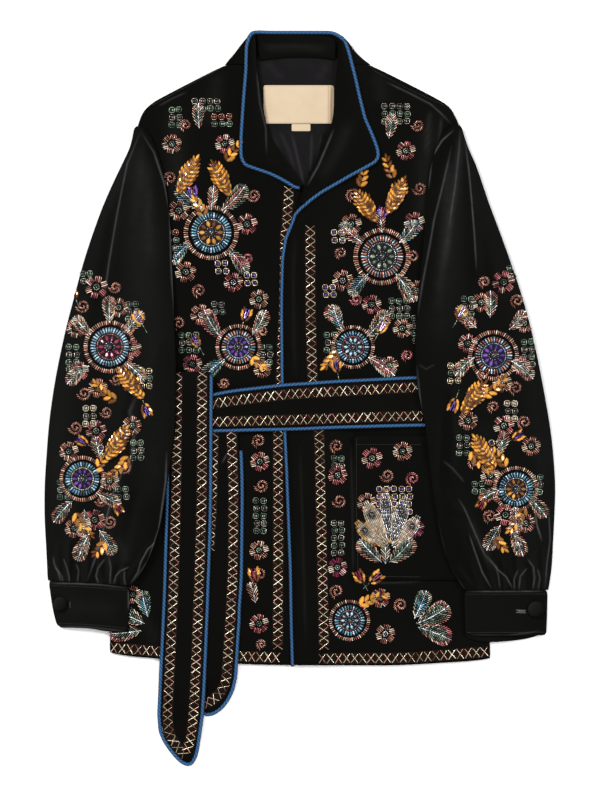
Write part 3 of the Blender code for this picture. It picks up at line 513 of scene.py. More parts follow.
def refine(mesh, finer, lit):
    """Finer faces on a cloth's upper side only, and finer still along its thin lit lines."""
    thin = [line for line in lit if line[0] < THIN_LINE]
    bm = bmesh.new()
    bm.from_mesh(mesh)
    for reach in [None] * finer + list(FINER_REACH if thin else ()):
        bm.edges.index_update()
        bm.edges.ensure_lookup_table()
        upper = [face for face in bm.faces if face.normal.z > UPPER]
        if reach:
            centres = np.array([face.calc_center_median().to_2d() for face in upper])
            away = np.min([along_line(centres, places)[0] for _, _, *places in thin], axis=0)
            upper = [face for face, gap in zip(upper, away) if gap < reach * MM]
        chosen = {edge.index for face in upper for edge in face.edges if edge.calc_length() > FINE_EDGE * MM}
        edges = [bm.edges[index] for index in sorted(chosen)]
        bmesh.ops.subdivide_edges(bm, edges=edges, cuts=1, use_grid_fill=True)
    bm.to_mesh(mesh)
    bm.free()


def welded(node):
    """A solid's mesh where it stands, its corners joined, ready to be edited."""
    bm = bmesh.new()
    bm.from_mesh(NODES[node].data)
    bm.transform(NODES[node].matrix_world)
    bmesh.ops.remove_doubles(bm, verts=bm.verts, dist=WELD)
    return bm


def piece_of(name, mesh, material, node=None, smooth=True):
    """A piece of the jacket made of a mesh; it stands for a solid when it has a node."""
    mesh.materials.clear()
    mesh.materials.append(material)
    mesh.polygons.foreach_set("use_smooth", [smooth] * len(mesh.polygons))
    mesh.update()
    piece = bpy.data.objects.new(name, mesh)
    SCENE.collection.objects.link(piece)
    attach(piece, "root")
    if node:
        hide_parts(node)
    return piece


def fine_form(node, level, rim, corner, bend):
    """A panel's form in fine faces, sharp on its rims by one amount and at its corners by another."""
    bm = welded(node)
    flat = [f for f in bm.faces if abs(f.normal.z) > STEEP]
    bmesh.ops.join_triangles(bm, faces=flat, **FLAT_JOIN)
    rims = [f for f in bm.faces if abs(f.normal.z) <= STEEP]
    bmesh.ops.join_triangles(bm, faces=rims, **RIM_JOIN)
    layer = bm.edges.layers.float.new("crease_edge")
    for edge in bm.edges:
        steep = [abs(f.normal.z) <= STEEP for f in edge.link_faces]
        if len(steep) == 2 and steep[0] != steep[1]:
            edge[layer] = rim
        elif all(steep) and edge.calc_face_angle(0.0) > bend:
            edge[layer] = corner
    mesh = bpy.data.meshes.new("coarse_" + node)
    bm.to_mesh(mesh)
    bm.free()
    coarse = bpy.data.objects.new("coarse_" + node, mesh)
    SCENE.collection.objects.link(coarse)
    fine = coarse.modifiers.new("fine", "SUBSURF")
    fine.levels = level
    fine.render_levels = level
    baked = bpy.data.meshes.new_from_object(coarse.evaluated_get(bpy.context.evaluated_depsgraph_get()))
    bpy.data.objects.remove(coarse)
    return baked


def skin(node, material, slot, level, rests, creases=(), rim=RIM_CREASE, corner=None, bend=0.9, seam=None,
         lit=(), finer=0, also=(), sheet=True):
    """A fine cloth in a panel's own form, with rounded rims and creases, standing for the panel."""
    baked = fine_form(node, level, rim, rim if corner is None else corner, bend)
    if finer or lit:
        refine(baked, finer, lit)
    points = np.empty(len(baked.vertices) * 3)
    baked.vertices.foreach_get("co", points)
    points = points.reshape(-1, 3)
    if creases:
        points[:, 2] += crease_rise(points[:, :2], creases)
    if seam:
        points[:, 1] += seam_reach(points[:, :2], seam)
    baked.vertices.foreach_set("co", points.ravel())
    # The lit attribute carries the painted highlights and painted shade of the lit lines.
    if lit:
        baked.attributes.new("lit", "FLOAT", "POINT").data.foreach_set("value", lit_of(points[:, :2], lit))
    piece = piece_of("cloth_" + node, baked, material, node)
    SKINS[node] = piece


LEFT_CUFF_EDGE = ((-295.0, -212.2), (-250.0, -214.5), (-198.0, -218.2))
RIGHT_CUFF_EDGE = ((192.0, -223.4), (291.0, -223.4))
PANELS = (
    # node, cloth, level of fineness, node that it rests on, what a plain panel doesn't have
    ("belt_back", "belt", 1, None, {}),
    ("back", "body", 1, "belt_back", {}),
    ("collar_back", "body", 2, None, {"rim": 1.0, "bend": 0.2}),
    ("lining_back", "satin", 3, "back", {"creases": LINING_CREASES, "lit": LINING_LIT, "finer": 1}),
    ("size_tab", "label", 3, None, {"rim": 0.95, "sheet": False}),
    ("neck_label", "label", 3, "lining_back", {"rim": 0.95, "also": ("cloth_size_tab",), "lit": LABEL_SHADE}),
    ("collar_stand", "body", 2, "collar_back", {"lit": COLLAR_LIT}),
    ("front_left", "body", 2, "back", {"lit": BODY_LIT}),
    ("front_right", "body", 2, "back", {"lit": BODY_LIT}),
    ("collar_side_left", "body", 2, "collar_back", {}),
    ("collar_side_right", "body", 2, "collar_back", {}),
    ("lapel_left", "body", 2, "front_left", {"lit": COLLAR_LIT, "finer": 1}),
    ("lapel_right", "body", 2, "front_right", {"lit": COLLAR_LIT, "finer": 1}),
    ("pocket_right", "body", 2, "front_right", {"lit": BODY_LIT}),
    ("belt_end_short", "belt", 2, "front_left", {"lit": BELT_LIT}),
    ("belt_waist", "belt", 2, "front_left", {}),
    ("belt_end_long", "belt", 2, "belt_waist", {}),
    ("sleeve_under_left", "sleeve", 1, "front_left", {}),
    ("sleeve_under_right", "sleeve_right", 1, "front_right", {}),
    ("sleeve_upper_left", "sleeve", 2, "sleeve_under_left",
     {"creases": LEFT_CREASES, "lit": LEFT_LIT, "finer": 1}),
    ("sleeve_upper_right", "sleeve_right", 2, "sleeve_under_right",
     {"creases": RIGHT_CREASES, "lit": RIGHT_LIT, "finer": 1}),
    ("cuff_under_left", "cuff", 3, "front_left", {"corner": CUFF_CORNER}),
    ("cuff_under_right", "cuff", 3, "front_right", {"corner": CUFF_CORNER}),
    ("cuff_upper_left", "cuff", 3, "cuff_under_left",
     {"lit": CUFF_LIT, "corner": CUFF_CORNER, "seam": LEFT_CUFF_EDGE}),
    ("cuff_upper_right", "cuff", 3, "cuff_under_right",
     {"lit": CUFF_LIT, "corner": CUFF_CORNER, "seam": RIGHT_CUFF_EDGE}),
)
for node, cloth, level, rests, options in PANELS:
    skin(node, CLOTHS[cloth], "velvet" if cloth in PILE else cloth, level, rests, **options)

# Medallion and leaf bases


def base_of(node, material, creases):
    """A raised applique's own form, following the creases of the cloth under it."""
    source = NODES[node]
    mesh = source.data.copy()
    mesh.transform(source.matrix_world)
    if creases:
        corners = np.array([v.co for v in mesh.vertices])
        for vertex, rise in zip(mesh.vertices, crease_rise(corners[:, :2], creases)):
            vertex.co.z += rise
    SKINS[node] = piece_of("base_" + node, mesh, material, node)


for kind, count, material, slot, on_left, on_right in (
    ("medallion", 9, BASE_LOOK, "teal_beads", (6, 7), (8, 9)),
    ("leaf", 8, LEAF_LOOK, "amber_beads", (5, 6), (7, 8)),
):
    for number in range(1, count + 1):
        creases = LEFT_CREASES if number in on_left else RIGHT_CREASES if number in on_right else ()
        base_of(f"{kind}_{number:02d}", material, creases)

# A top surface that beads and bands are set on

points, faces, owner = [], [], []
for name, piece in SKINS.items():
    mesh = piece.data
    start = len(points)
    points += [v.co.copy() for v in mesh.vertices]
    for p in mesh.polygons:
        faces.append(tuple(start + i for i in p.vertices))
        owner.append(name)
TOP = BVHTree.FromPolygons(points, faces)
DOWN = Vector((0.0, 0.0, -1.0))


def drop(x, y):
    """(place, normal, piece) of what shows at a table place, or None past the cloth."""
    hit, normal, index, _ = TOP.ray_cast(Vector((*at(x, y), RAY_FROM)), DOWN)
    return None if hit is None else (hit, normal, owner[index])


# Bead forms: points along X, up Z, one millimetre units


def ring_faces(rings, sides, start=0):
    """The faces between rings of points, closed at both ends."""
    faces = []
    for r in range(rings - 1):
        a, b = start + r * sides, start + (r + 1) * sides
        for k in range(sides):
            n = (k + 1) % sides
            faces.append((a + k, a + n, b + n, b + k))
    faces.append(tuple(start + k for k in range(sides - 1, -1, -1)))
    faces.append(tuple(start + (rings - 1) * sides + k for k in range(sides)))
    return faces


def prism(sides):
    """A rod of length 1 and radius 1 with domed ends, along X."""
    rings = ((-0.5, 0.55), (-0.42, 1.0), (0.42, 1.0), (0.5, 0.55))
    verts = []
    for along, radius in rings:
        for k in range(sides):
            a = 2 * math.pi * (k + 0.5) / sides
            verts.append((along, radius * math.cos(a), radius * math.sin(a)))
    return verts, ring_faces(len(rings), sides)


def ball(rings, sides):
    """A round bead of radius 1, in rings about Z."""
    verts = []
    for r in range(rings):
        height = -math.cos(math.pi * (r + 0.35) / (rings - 0.3))
        radius = math.sqrt(max(0.0, 1 - height * height))
        for k in range(sides):
            a = 2 * math.pi * k / sides
            verts.append((radius * math.cos(a), radius * math.sin(a), height))
    return verts, ring_faces(rings, sides)


def navette(sides):
    """A pointed oval stone with a table facet, length 1 and width 1 in its own axes."""
    rings = ((1.0, 0.0), (1.0, 0.35), (0.55, 1.0))
    verts = []
    for scale, height in rings:
        for k in range(sides):
            a = 2 * math.pi * k / sides
            c, s = math.cos(a), math.sin(a)
            verts.append((0.5 * c * scale, 0.5 * s * (1 - 0.35 * c * c) * scale, height))
    return verts, ring_faces(len(rings), sides)


ROD = prism(5)
SEED = ball(4, 6)
PEARL = ball(9, 14)
STONE = navette(8)
STORE = {}
STITCHES = {}


def put(look, form, x, y, angle, size, lift, on, tilt=0.0, store=STORE):
    """One bead of a look at a table place, turned by an angle in degrees, size in mm along its own axes."""
    found = drop(x, y)
    if found is None or (on and not found[2].startswith(on)):
        return
    place, normal, _ = found
    side = Vector((math.cos(math.radians(angle)), math.sin(math.radians(angle)), 0.0))
    side = (side - normal * side.dot(normal)).normalized()
    turn = Matrix((side, normal.cross(side), normal)).transposed()
    verts, faces = store.setdefault(look, ([], []))
    start = len(verts)
    roll = math.radians(tilt)
    for vx, vy, vz in form[0]:
        px, py, pz = vx * size[0], vy * size[1], vz * size[2]
        if roll:
            px, pz = px * math.cos(roll) - pz * math.sin(roll), px * math.sin(roll) + pz * math.cos(roll)
        verts.append(place + turn @ Vector((px, py, pz + lift)) * MM)
    faces.extend(tuple(start + i for i in f) for f in form[1])


# A rod that lies on the cloth by itself is slimmer by this than one at a stated height.
SLIM = 0.80


def rod(look, x, y, angle, length, radius, on=None, lift=None, jitter=4.0):
    """A glass rod at a small random turn, on the cloth or at a height in mm."""
    angle += DICE.uniform(-jitter, jitter)
    if lift is None:
        radius *= SLIM
        lift = radius * 0.8
    put(look, ROD, x, y, angle, (length, radius, radius), lift, on, DICE.uniform(-2.0, 2.0))


def seed(look, x, y, radius, on=None, lift=None):
    """A seed bead, on the cloth or at a height in mm."""
    height = radius * 0.6 if lift is None else lift
    put(look, SEED, x, y, DICE.uniform(0, 360), (radius, radius, radius * 0.8), height, on)


def stone(look, x, y, angle, length, width, on=None):
    """A pointed stone that lies on the cloth, rolled a little."""
    put(look, STONE, x, y, angle, (length, width, 2.2), 0.0, on, DICE.uniform(-20.0, 20.0))


def pearl(x, y, radius, on=None, lift=0.0):
    """A round jet bead."""
    put("jet", PEARL, x, y, 0.0, (radius, radius, radius), radius * 0.75 + lift, on)


# Steps between two places of a curve, and how far on its direction is measured (mm).
CURVE_STEPS = 24
LOOK_ON = 0.5


def curve(points, spacing):
    """(x, y, direction) along a smooth line through some places, at equal steps."""
    p = [np.array(q, float) for q in points]
    p = [2 * p[0] - p[1]] + p + [2 * p[-1] - p[-2]]
    fine = []
    for a, b, c, d in zip(p, p[1:], p[2:], p[3:]):
        for t in np.linspace(0, 1, CURVE_STEPS, endpoint=False):
            fine.append(0.5 * (2 * b + (c - a) * t + (2 * a - 5 * b + 4 * c - d) * t * t
                               + (3 * b - 3 * c + d - a) * t ** 3))
    fine.append(p[-2])
    fine = np.array(fine)
    steps = np.linalg.norm(np.diff(fine, axis=0), axis=1)
    along = np.concatenate([[0], np.cumsum(steps)])
    count = max(2, int(round(along[-1] / spacing)) + 1)
    out = []
    for s in np.linspace(0, along[-1], count):
        x, y = np.interp(s, along, fine[:, 0]), np.interp(s, along, fine[:, 1])
        on = -LOOK_ON if s + LOOK_ON > along[-1] else LOOK_ON
        x2, y2 = np.interp(s + on, along, fine[:, 0]), np.interp(s + on, along, fine[:, 1])
        angle = math.degrees(math.atan2((y2 - y) * on, (x2 - x) * on))
        out.append((float(x), float(y), angle))
    return out


def way(x, y, angle, distance):
    """The place that lies so far from another in a direction."""
    return x + distance * math.cos(math.radians(angle)), y + distance * math.sin(math.radians(angle))


# Motifs, all plain and general


def frond(x, y, angle, length, looks, on, width, bend):
    """A feathery leaf: a silver rib, and slanting rods of one look on both sides with tips of another."""
    steps = max(5, int(length / 2.9))
    for k in range(steps):
        t = (k + 0.5) / steps
        a = angle + bend * t
        px, py = way(x, y, angle + bend * t * 0.5, length * t)
        rod("silver", px, py, a, 3.0, 0.95, on, 1.1)
        reach = length * width * math.sin(math.pi * min(1.0, t * 0.92 + 0.12)) ** 0.8
        if reach < 2.2:
            continue
        for sign in (-1, 1):
            lean = a + sign * 42
            rods = max(1, int(round(reach / 6.0)))
            for r in range(rods):
                qx, qy = way(px, py, lean, reach * (r + 0.5) / rods + 1.0)
                tip = "cream" if DICE.random() < 0.3 else looks[1]
                rod(tip if r == rods - 1 else looks[0], qx, qy, lean, reach / rods * 0.88, 0.72, on)


def sprig(x, y, angle, count, look, on, size, bend):
    """Stones in pairs along a stem."""
    for k in range(count):
        a = angle + bend * k / count
        px, py = way(x, y, angle + bend * k / count * 0.5, size * 0.62 * k)
        shrink = 1.0 - 0.35 * k / count
        for sign in (-1, 1):
            qx, qy = way(px, py, a + sign * 38, size * 0.5 * shrink)
            stone(look, qx, qy, a + sign * 38, size * shrink, size * 0.5 * shrink, on)
    px, py = way(x, y, angle + bend * 0.5, size * 0.62 * count)
    stone(look, px, py, angle + bend, size * 0.7, size * 0.36, on)


PETALS = 6
PETAL_PITCH = 2.1


def daisy(x, y, radius, look, core, on):
    """A small flower: blunt petals of side by side rods round a small square of rods."""
    for k in range(PETALS):
        a = 360.0 * k / PETALS + 17
        px, py = way(x, y, a, radius * 0.74)
        for step, share in ((-1.5, 0.86), (-0.5, 1.0), (0.5, 1.0), (1.5, 0.86)):
            qx, qy = way(px, py, a + 90, step * PETAL_PITCH)
            pale = DICE.random() < (0.55 if k % 3 == 0 else 0.10)
            rod("cream" if pale else look, qx, qy, a, radius * 0.60 * share, 0.70, on, None, 3.0)
    for k in range(4):
        qx, qy = way(x, y, 90 * k + 30, radius * 0.22)
        rod(core, qx, qy, 90 * k + 120, radius * 0.34, 0.7, on)
    seed("silver", x, y, 1.0, on)


SPIRAL_TURNS = 1.6
SPIRAL_START = 40.0


def spiral(x, y, radius, look, on, hand):
    """Short rods laid across a winding line, like a rope."""
    length = 2 * math.pi * SPIRAL_TURNS * radius * 0.59
    count = int(length / 2.0)
    for k in range(count):
        t = ((k + 0.5) / count) ** 0.7
        a = SPIRAL_START + hand * 360 * SPIRAL_TURNS * t
        qx, qy = way(x, y, a, radius * (0.16 + 0.84 * t))
        rod(look, qx, qy, a + hand * 35, 3.6, 0.68, on)


SQUARE_PITCH = 8.8
SQUARE = 6.5


def tiles(x, y, columns, rows, looks, on):
    """A block of squares, each of four rods round a coloured middle."""
    for r in range(rows):
        for c in range(columns):
            px = x + (c - (columns - 1) / 2) * SQUARE_PITCH + (r % 2) * 0.8 + DICE.uniform(-0.4, 0.4)
            py = y - r * SQUARE_PITCH + DICE.uniform(-0.4, 0.4)
            turn = DICE.uniform(-9, 9)
            look = looks[(c * 2 + r) % len(looks)]
            edge = "gold" if look == "purple" else look
            for k in range(4):
                qx, qy = way(px, py, 90 * k + turn, SQUARE * 0.46)
                rod(edge, qx, qy, 90 * k + 90 + turn, SQUARE * 0.74, 0.66, on, None, 5.0)
            for side in (-1, 1):
                qx, qy = way(px, py, turn, side * SQUARE * 0.14)
                rod(look, qx, qy, turn + 90, SQUARE * 0.42, 0.80, on)


def bud(x, y, angle, look, core, on, size):
    """A closed flower: two rows of small stones round an inner one of rods, on a short stem."""
    for sign in (-1, 1):
        for k in range(4):
            qx, qy = way(x, y, angle + sign * (44 - 9 * k), size * (0.22 + 0.17 * k))
            stone(look, qx, qy, angle + sign * (34 - 6 * k), size * 0.34, size * 0.17, on)
    for k in range(3):
        for sign in (-1, 1):
            qx, qy = way(x, y, angle + sign * 7, size * (0.28 + 0.2 * k))
            rod(core, qx, qy, angle, size * 0.2, 0.9, on)
    for k in range(3):
        qx, qy = way(x, y, angle + 180, 2.0 + 3.6 * k)
        rod("sage", qx, qy, angle, 3.4, 0.6, on)


def plume(x, y, angle, length, width, outer, inner, on, bend):
    """A long petal filled with side by side rods, lighter inside, with a jet pearl near its tip."""
    rows = int(length / 3.9)
    for r in range(rows):
        t = (r + 0.5) / rows
        half = width / 2 * math.sin(math.pi * (0.06 + 0.90 * t ** 1.5)) ** 0.75
        a = angle + bend * t
        px, py = way(x, y, angle + bend * t * 0.5, length * t)
        across = max(1, int(half * 2 / 1.9))
        for c in range(across):
            offset = (c + 0.5) / across * 2 - 1
            qx, qy = way(px, py, a + 90, half * offset)
            edge = abs(offset) > 0.72 or r in (0, rows - 1)
            rod(outer if edge else inner, qx, qy, a + 16 * offset * (0.5 - t), 3.8, 0.80, on)
    px, py = way(x, y, angle + bend * 0.35, length * 0.70)
    pearl(px, py, width * 0.21, on, 1.4)
    for k in range(12):
        qx, qy = way(px, py, 30 * k, width * 0.27)
        seed("pewter", qx, qy, 0.9, on, 2.0)


BODY_AND_SLEEVES = ("front_left", "front_right", "sleeve_upper")


def roundel(x, y, radius, looks):
    """A medallion: radial rods round rings of seeds and stones and a jet pearl, on its own raised base."""
    outer, middle, inner = looks
    count = int(radius * 1.7)
    for k in range(count):
        a = 360.0 * k / count
        qx, qy = way(x, y, a, radius * 0.85)
        rod("ice" if k % 3 == 0 else outer, qx, qy, a, radius * 0.27, 1.35)
    count = int(radius * 1.9)
    for k in range(count):
        qx, qy = way(x, y, 360.0 * k / count, radius * 0.64)
        seed(middle, qx, qy, 0.95)
    for k in range(10):
        a = 36.0 * k
        qx, qy = way(x, y, a, radius * 0.44)
        stone(inner, qx, qy, a, radius * 0.32, radius * 0.20)
    for k in range(12):
        qx, qy = way(x, y, 30.0 * k + 15, radius * 0.24)
        seed("silver", qx, qy, 0.8)
    pearl(x, y, radius * 0.19)
    count = int(radius * 3.2)
    for k in range(count):
        a = 360.0 * k / count
        qx, qy = way(x, y, a, radius * 1.24)
        rod("copper" if k % 4 else "cream", qx, qy, a, radius * 0.22, 0.85, BODY_AND_SLEEVES)


# The cross-stitch bands

BAND_WIDTH = 12.8
BAND_RISE = 0.25
CROSS_PITCH = 9.3
CLIP_STEPS = 12
# A band or a rod is left out where less than this share of it shows.
LEAST_BAND = 0.2
LEAST_ROD = 0.25
BAND_STORE = ([], [])


def shown_run(x, y, angle, length, on):
    """The longest part of a short line, as (start, end) shares, that lies on a piece with nothing over it."""
    best, start = (0, 0), None
    for k in range(CLIP_STEPS + 1):
        found = drop(*way(x, y, angle, length * (k / CLIP_STEPS - 0.5)))
        if found is not None and found[2].startswith(on):
            start = k if start is None else start
            if k - start > best[1] - best[0]:
                best = (start, k)
        else:
            start = None
    return best[0] / CLIP_STEPS - 0.5, best[1] / CLIP_STEPS - 0.5


def cross_band(points, on):
    """A dark woven band with crossed rods that meet at its edges."""
    verts, faces = BAND_STORE
    previous = None
    for x, y, angle in curve(points, CROSS_PITCH / 3):
        low, high = shown_run(x, y, angle + 90, BAND_WIDTH, on)
        if high - low < LEAST_BAND:
            previous = None
            continue
        start = len(verts)
        for share in (low, high):
            found = drop(*way(x, y, angle + 90, share * BAND_WIDTH))
            verts.append(found[0] + found[1] * BAND_RISE * MM)
            verts.append(found[0] - found[1] * BAND_RISE * MM)
        if previous is not None:
            a, b = previous, start
            faces.extend(((a, a + 2, b + 2, b), (a + 1, b + 1, b + 3, a + 3), (a, b, b + 1, a + 1),
                          (a + 2, a + 3, b + 3, b + 2)))
        previous = start
    lean = math.degrees(math.atan2(BAND_WIDTH, CROSS_PITCH))
    for k, (x, y, angle) in enumerate(curve(points, CROSS_PITCH)):
        for sign in (-1, 1):
            look = "gold" if (k + (sign > 0)) % 3 else "copper"
            turn = angle + sign * lean + DICE.uniform(-3.0, 3.0)
            full = math.hypot(BAND_WIDTH, CROSS_PITCH) * DICE.uniform(0.84, 0.92)
            low, high = shown_run(x, y, turn, full, on)
            if high - low > LEAST_ROD:
                px, py = way(x, y, turn, full * (low + high) / 2)
                rod(look, px, py, turn, full * (high - low), 0.52, on, 0.7 + 0.4 * (sign > 0), 0.0)


# Piping cords

RADII = {
    "piping_collar": 1.8,
    "piping_lapel_left": 1.8,
    "piping_lapel_right": 1.8,
    "piping_front": 1.6,
    "piping_belt_upper": 1.8,
    "piping_belt_lower": 1.8,
    "piping_end_long": 1.8,
    "piping_end_short": 1.8,
}
# How far a cord runs on past its solid's end (mm).
RUN_ON = {"piping_end_long": 9.0}
# Points in one ring of a piping solid.
RING = 6
CORD_SIDES = 10
CORD_STEP = 0.7
CORD_PITCH = 4.8
# The groove between two plies, as a share of the radius, and the reach past each end (mm).
GROOVE = 0.30
END_REACH = 1.2
# The steps on each side over which a cord's line is evened out.
SMOOTHING = 5
# A dark flange under a cord, painted shade for the cord's shaded edge: how far past the cord, how thick and
# how low in radii, its sides and steps.
FLANGE = 0.5
FLANGE_THICK = 0.35
FLANGE_LOW = 0.45
FLANGE_SIDES = 6
FLANGE_STEP = 4


def build(name, verts, faces, material, slot, node=None, smooth=True):
    """A piece made of points and faces."""
    mesh = bpy.data.meshes.new(name)
    mesh.from_pydata([tuple(v) for v in verts], [], faces)
    return piece_of(name, mesh, material, node, smooth)


def cord_path(node):
    """Places at even steps along a piping solid's own line, smoothed, and how far along it each one lies."""
    line = centre_line(node)
    if node in RUN_ON:
        if line[0][0] < line[-1][0]:
            line = line[::-1]
        onward = (line[0] - line[1]) / np.linalg.norm(line[0] - line[1])
        line = np.vstack([line[0] + onward * RUN_ON[node] * MM, line])
    steps = np.linalg.norm(np.diff(line, axis=0), axis=1)
    along = np.concatenate([[0], np.cumsum(steps)])
    places = np.linspace(0, along[-1], int(along[-1] / (CORD_STEP * MM)))
    path = np.stack([np.interp(places, along, line[:, k]) for k in range(3)], axis=1)
    padded = np.pad(path, ((SMOOTHING, SMOOTHING), (0, 0)), mode="edge")
    window = np.ones(2 * SMOOTHING + 1) / (2 * SMOOTHING + 1)
    path[1:-1] = np.stack([np.convolve(padded[:, k], window, "valid") for k in range(3)], axis=1)[1:-1]
    path[0] += (path[0] - path[2]) / np.linalg.norm(path[0] - path[2]) * END_REACH * MM
    path[-1] += (path[-1] - path[-3]) / np.linalg.norm(path[-1] - path[-3]) * END_REACH * MM
    return path, places


def twisted(node):
    """A two-ply cord in a piping solid's own line: ridges wind round it and carry its painted light, with a
    dark flange under it as painted shade.
    """
    path, places = cord_path(node)
    count = len(path)
    radius = RADII[node] * MM
    tangent = np.gradient(path, axis=0)
    tangent /= np.linalg.norm(tangent, axis=1)[:, None]
    side = np.cross(tangent, (0.0, 0.0, 1.0))
    side /= np.linalg.norm(side, axis=1)[:, None]
    up = np.cross(side, tangent)
    verts, ridge = [], []
    for k in range(count):
        wind = 2 * math.pi * places[k] / (CORD_PITCH * MM)
        cap = 0.5 if k in (0, count - 1) else 1.0
        for j in range(CORD_SIDES):
            a = 2 * math.pi * j / CORD_SIDES
            # The ridge's height shapes the cord and is also its painted light: painted shade in the grooves,
            # painted highlights on the ridges.
            ridge.append(abs(math.cos(a - wind / 2)))
            r = radius * (1 - GROOVE + GROOVE * ridge[-1]) * cap
            verts.append(path[k] + side[k] * r * math.cos(a) + up[k] * r * math.sin(a))
    faces = ring_faces(count, CORD_SIDES)
    cord_faces = len(faces)
    rings = [*range(0, count - FLANGE_STEP, FLANGE_STEP), count - 1]
    faces += ring_faces(len(rings), FLANGE_SIDES, len(verts))
    for k in rings:
        for j in range(FLANGE_SIDES):
            a = 2 * math.pi * j / FLANGE_SIDES
            lift = radius * (FLANGE_THICK * math.sin(a) - FLANGE_LOW)
            verts.append(path[k] + side[k] * (radius + FLANGE * MM) * math.cos(a) + up[k] * lift)
            ridge.append(0.0)
    mesh = build("cord_" + node, verts, faces, CORD, "cord", node).data
    mesh.materials.append(CORD_SHADE_EDGE)
    mesh.polygons.foreach_set("material_index", [int(k >= cord_faces) for k in range(len(faces))])
    mesh.attributes.new("lit", "FLOAT", "POINT").data.foreach_set("value", ridge)


def centre_line(node):
    """The middle of a piping solid, ring by ring, found by walking its edges from one end."""
    bm = welded(node)
    bm.verts.ensure_lookup_table()
    corners = np.array([v.co for v in bm.verts])
    near = {}
    for edge in bm.edges:
        a, b = (v.index for v in edge.verts)
        length = float(np.linalg.norm(corners[a] - corners[b]))
        near.setdefault(a, []).append((b, length))
        near.setdefault(b, []).append((a, length))
    bm.free()

    def walk(starts):
        far = {s: 0.0 for s in starts}
        queue = [(0.0, s) for s in starts]
        while queue:
            distance, here = heapq.heappop(queue)
            if distance > far[here]:
                continue
            for there, length in near[here]:
                if distance + length < far.get(there, 1e9):
                    far[there] = distance + length
                    heapq.heappush(queue, (far[there], there))
        return far

    first = walk([0])
    end = max(first, key=first.get)
    cap = np.argsort(np.linalg.norm(corners - corners[end], axis=1))[:RING]
    far = walk([int(c) for c in cap])
    order = sorted(far, key=far.get)
    starts = range(0, len(order) - RING + 1, RING)
    return np.array([corners[order[k : k + RING]].mean(axis=0) for k in starts])


for node in RADII:
    twisted(node)

# The bands

BANDS = (
    # piece, places along the band
    ("front_left", ((-13, 246), (-15.5, 205), (-17.2, 188), (-18.6, 118), (-21, 60), (-22.5, 18),
                    (-25.5, -41), (-25.5, -170), (-26, -288))),
    ("front_right", ((12, 200), (12.5, 100), (15, 24), (22, -36), (25, -150), (27.5, -257), (28, -288))),
    ("front_left", ((-218, -290.5), (-164, -294.5), (-100, -299), (-28, -301.5))),
    ("front_right", ((26, -302.5), (117, -302), (164, -299), (216, -295))),
    ("belt_waist", ((-99, -4), (-80, -1), (-50, 2.6), (-20, 6), (10, 8.2), (78, 12), (150, 15.5), (220, 17))),
    ("belt_waist", ((-99, -25.4), (-50, -24.2), (-20, -23.6), (25, -22), (96, -19.8), (150, -18.6),
                    (220, -17))),
    ("belt_end_long", ((-143.4, 30), (-144, -34), (-145, -116), (-148.4, -229), (-151.4, -295),
                       (-153.6, -340), (-155, -372), (-152, -392), (-144, -406), (-137, -414))),
    ("belt_end_long", ((-114.2, 30), (-114.6, -34), (-115, -116), (-118.5, -229), (-121, -295), (-123, -340),
                       (-125, -372), (-128.5, -398), (-132, -408))),
    ("belt_end_short", ((-80.4, -38), (-78.4, -88), (-78, -116), (-79, -206), (-84, -295), (-86.6, -326),
                        (-93, -342), (-103, -352), (-109, -355))),
    ("belt_end_short", ((-101, -40), (-103, -116), (-106, -172))),
)
for on, line in BANDS:
    cross_band(line, on)

# Beadwork: a plain pattern of roundels, leaf sprays, small flowers, squares and spirals

ROUNDELS = (
    # across, height, radius, rim, middle, inner; in the order of the nodes medallion_01 to medallion_09
    (-104, 196, 24, "teal", "silver", "amber"),
    (-72, 62, 20, "copper", "ice", "purple"),
    (96, 168, 25, "copper", "silver", "sage"),
    (62, 62, 19, "teal", "rose", "ice"),
    (58, -258, 18, "teal", "copper", "ice"),
    (-222, 62, 23, "ice", "copper", "crimson"),
    (-254, -92, 20, "teal", "gold", "purple"),
    (226, 52, 22, "copper", "ice", "purple"),
    (252, -104, 20, "teal", "silver", "amber"),
)
for x, y, radius, *looks in ROUNDELS:
    roundel(x, y, radius, looks)

LEAF_PLACES = (
    # across, height, half length, turn
    (-132, 262, 24, 62),
    (-92, 258, 22, 118),
    (112, 238, 23, 64),
    (78, 226, 21, 122),
    (-196, 18, 22, 130),
    (-214, -52, 22, 58),
    (202, 2, 22, 52),
    (216, -62, 22, 124),
)
for x, y, half, turn in LEAF_PLACES:
    for k in range(-4, 5):
        t = k / 4.6
        px, py = way(x, y, turn, half * t)
        reach = (7.4 * (1 - abs(t) ** 2.2) + 1.0) * DICE.uniform(0.85, 1.2)
        for sign in (-1, 1):
            for m in (0.3, 0.72, 1.14):
                qx, qy = way(px, py, turn + sign * 62, reach * m)
                stone("amber", qx, qy, turn + sign * (50 - 22 * m) + DICE.uniform(-9, 9), 6.0, 3.0)
    for k in range(8):
        px, py = way(x, y, turn, half * (-0.82 + 0.22 * k))
        seed("gold", px, py, 0.9)
    px, py = way(x, y, turn, half * 1.06)
    stone("amber", px, py, turn, 8.0, 3.8)

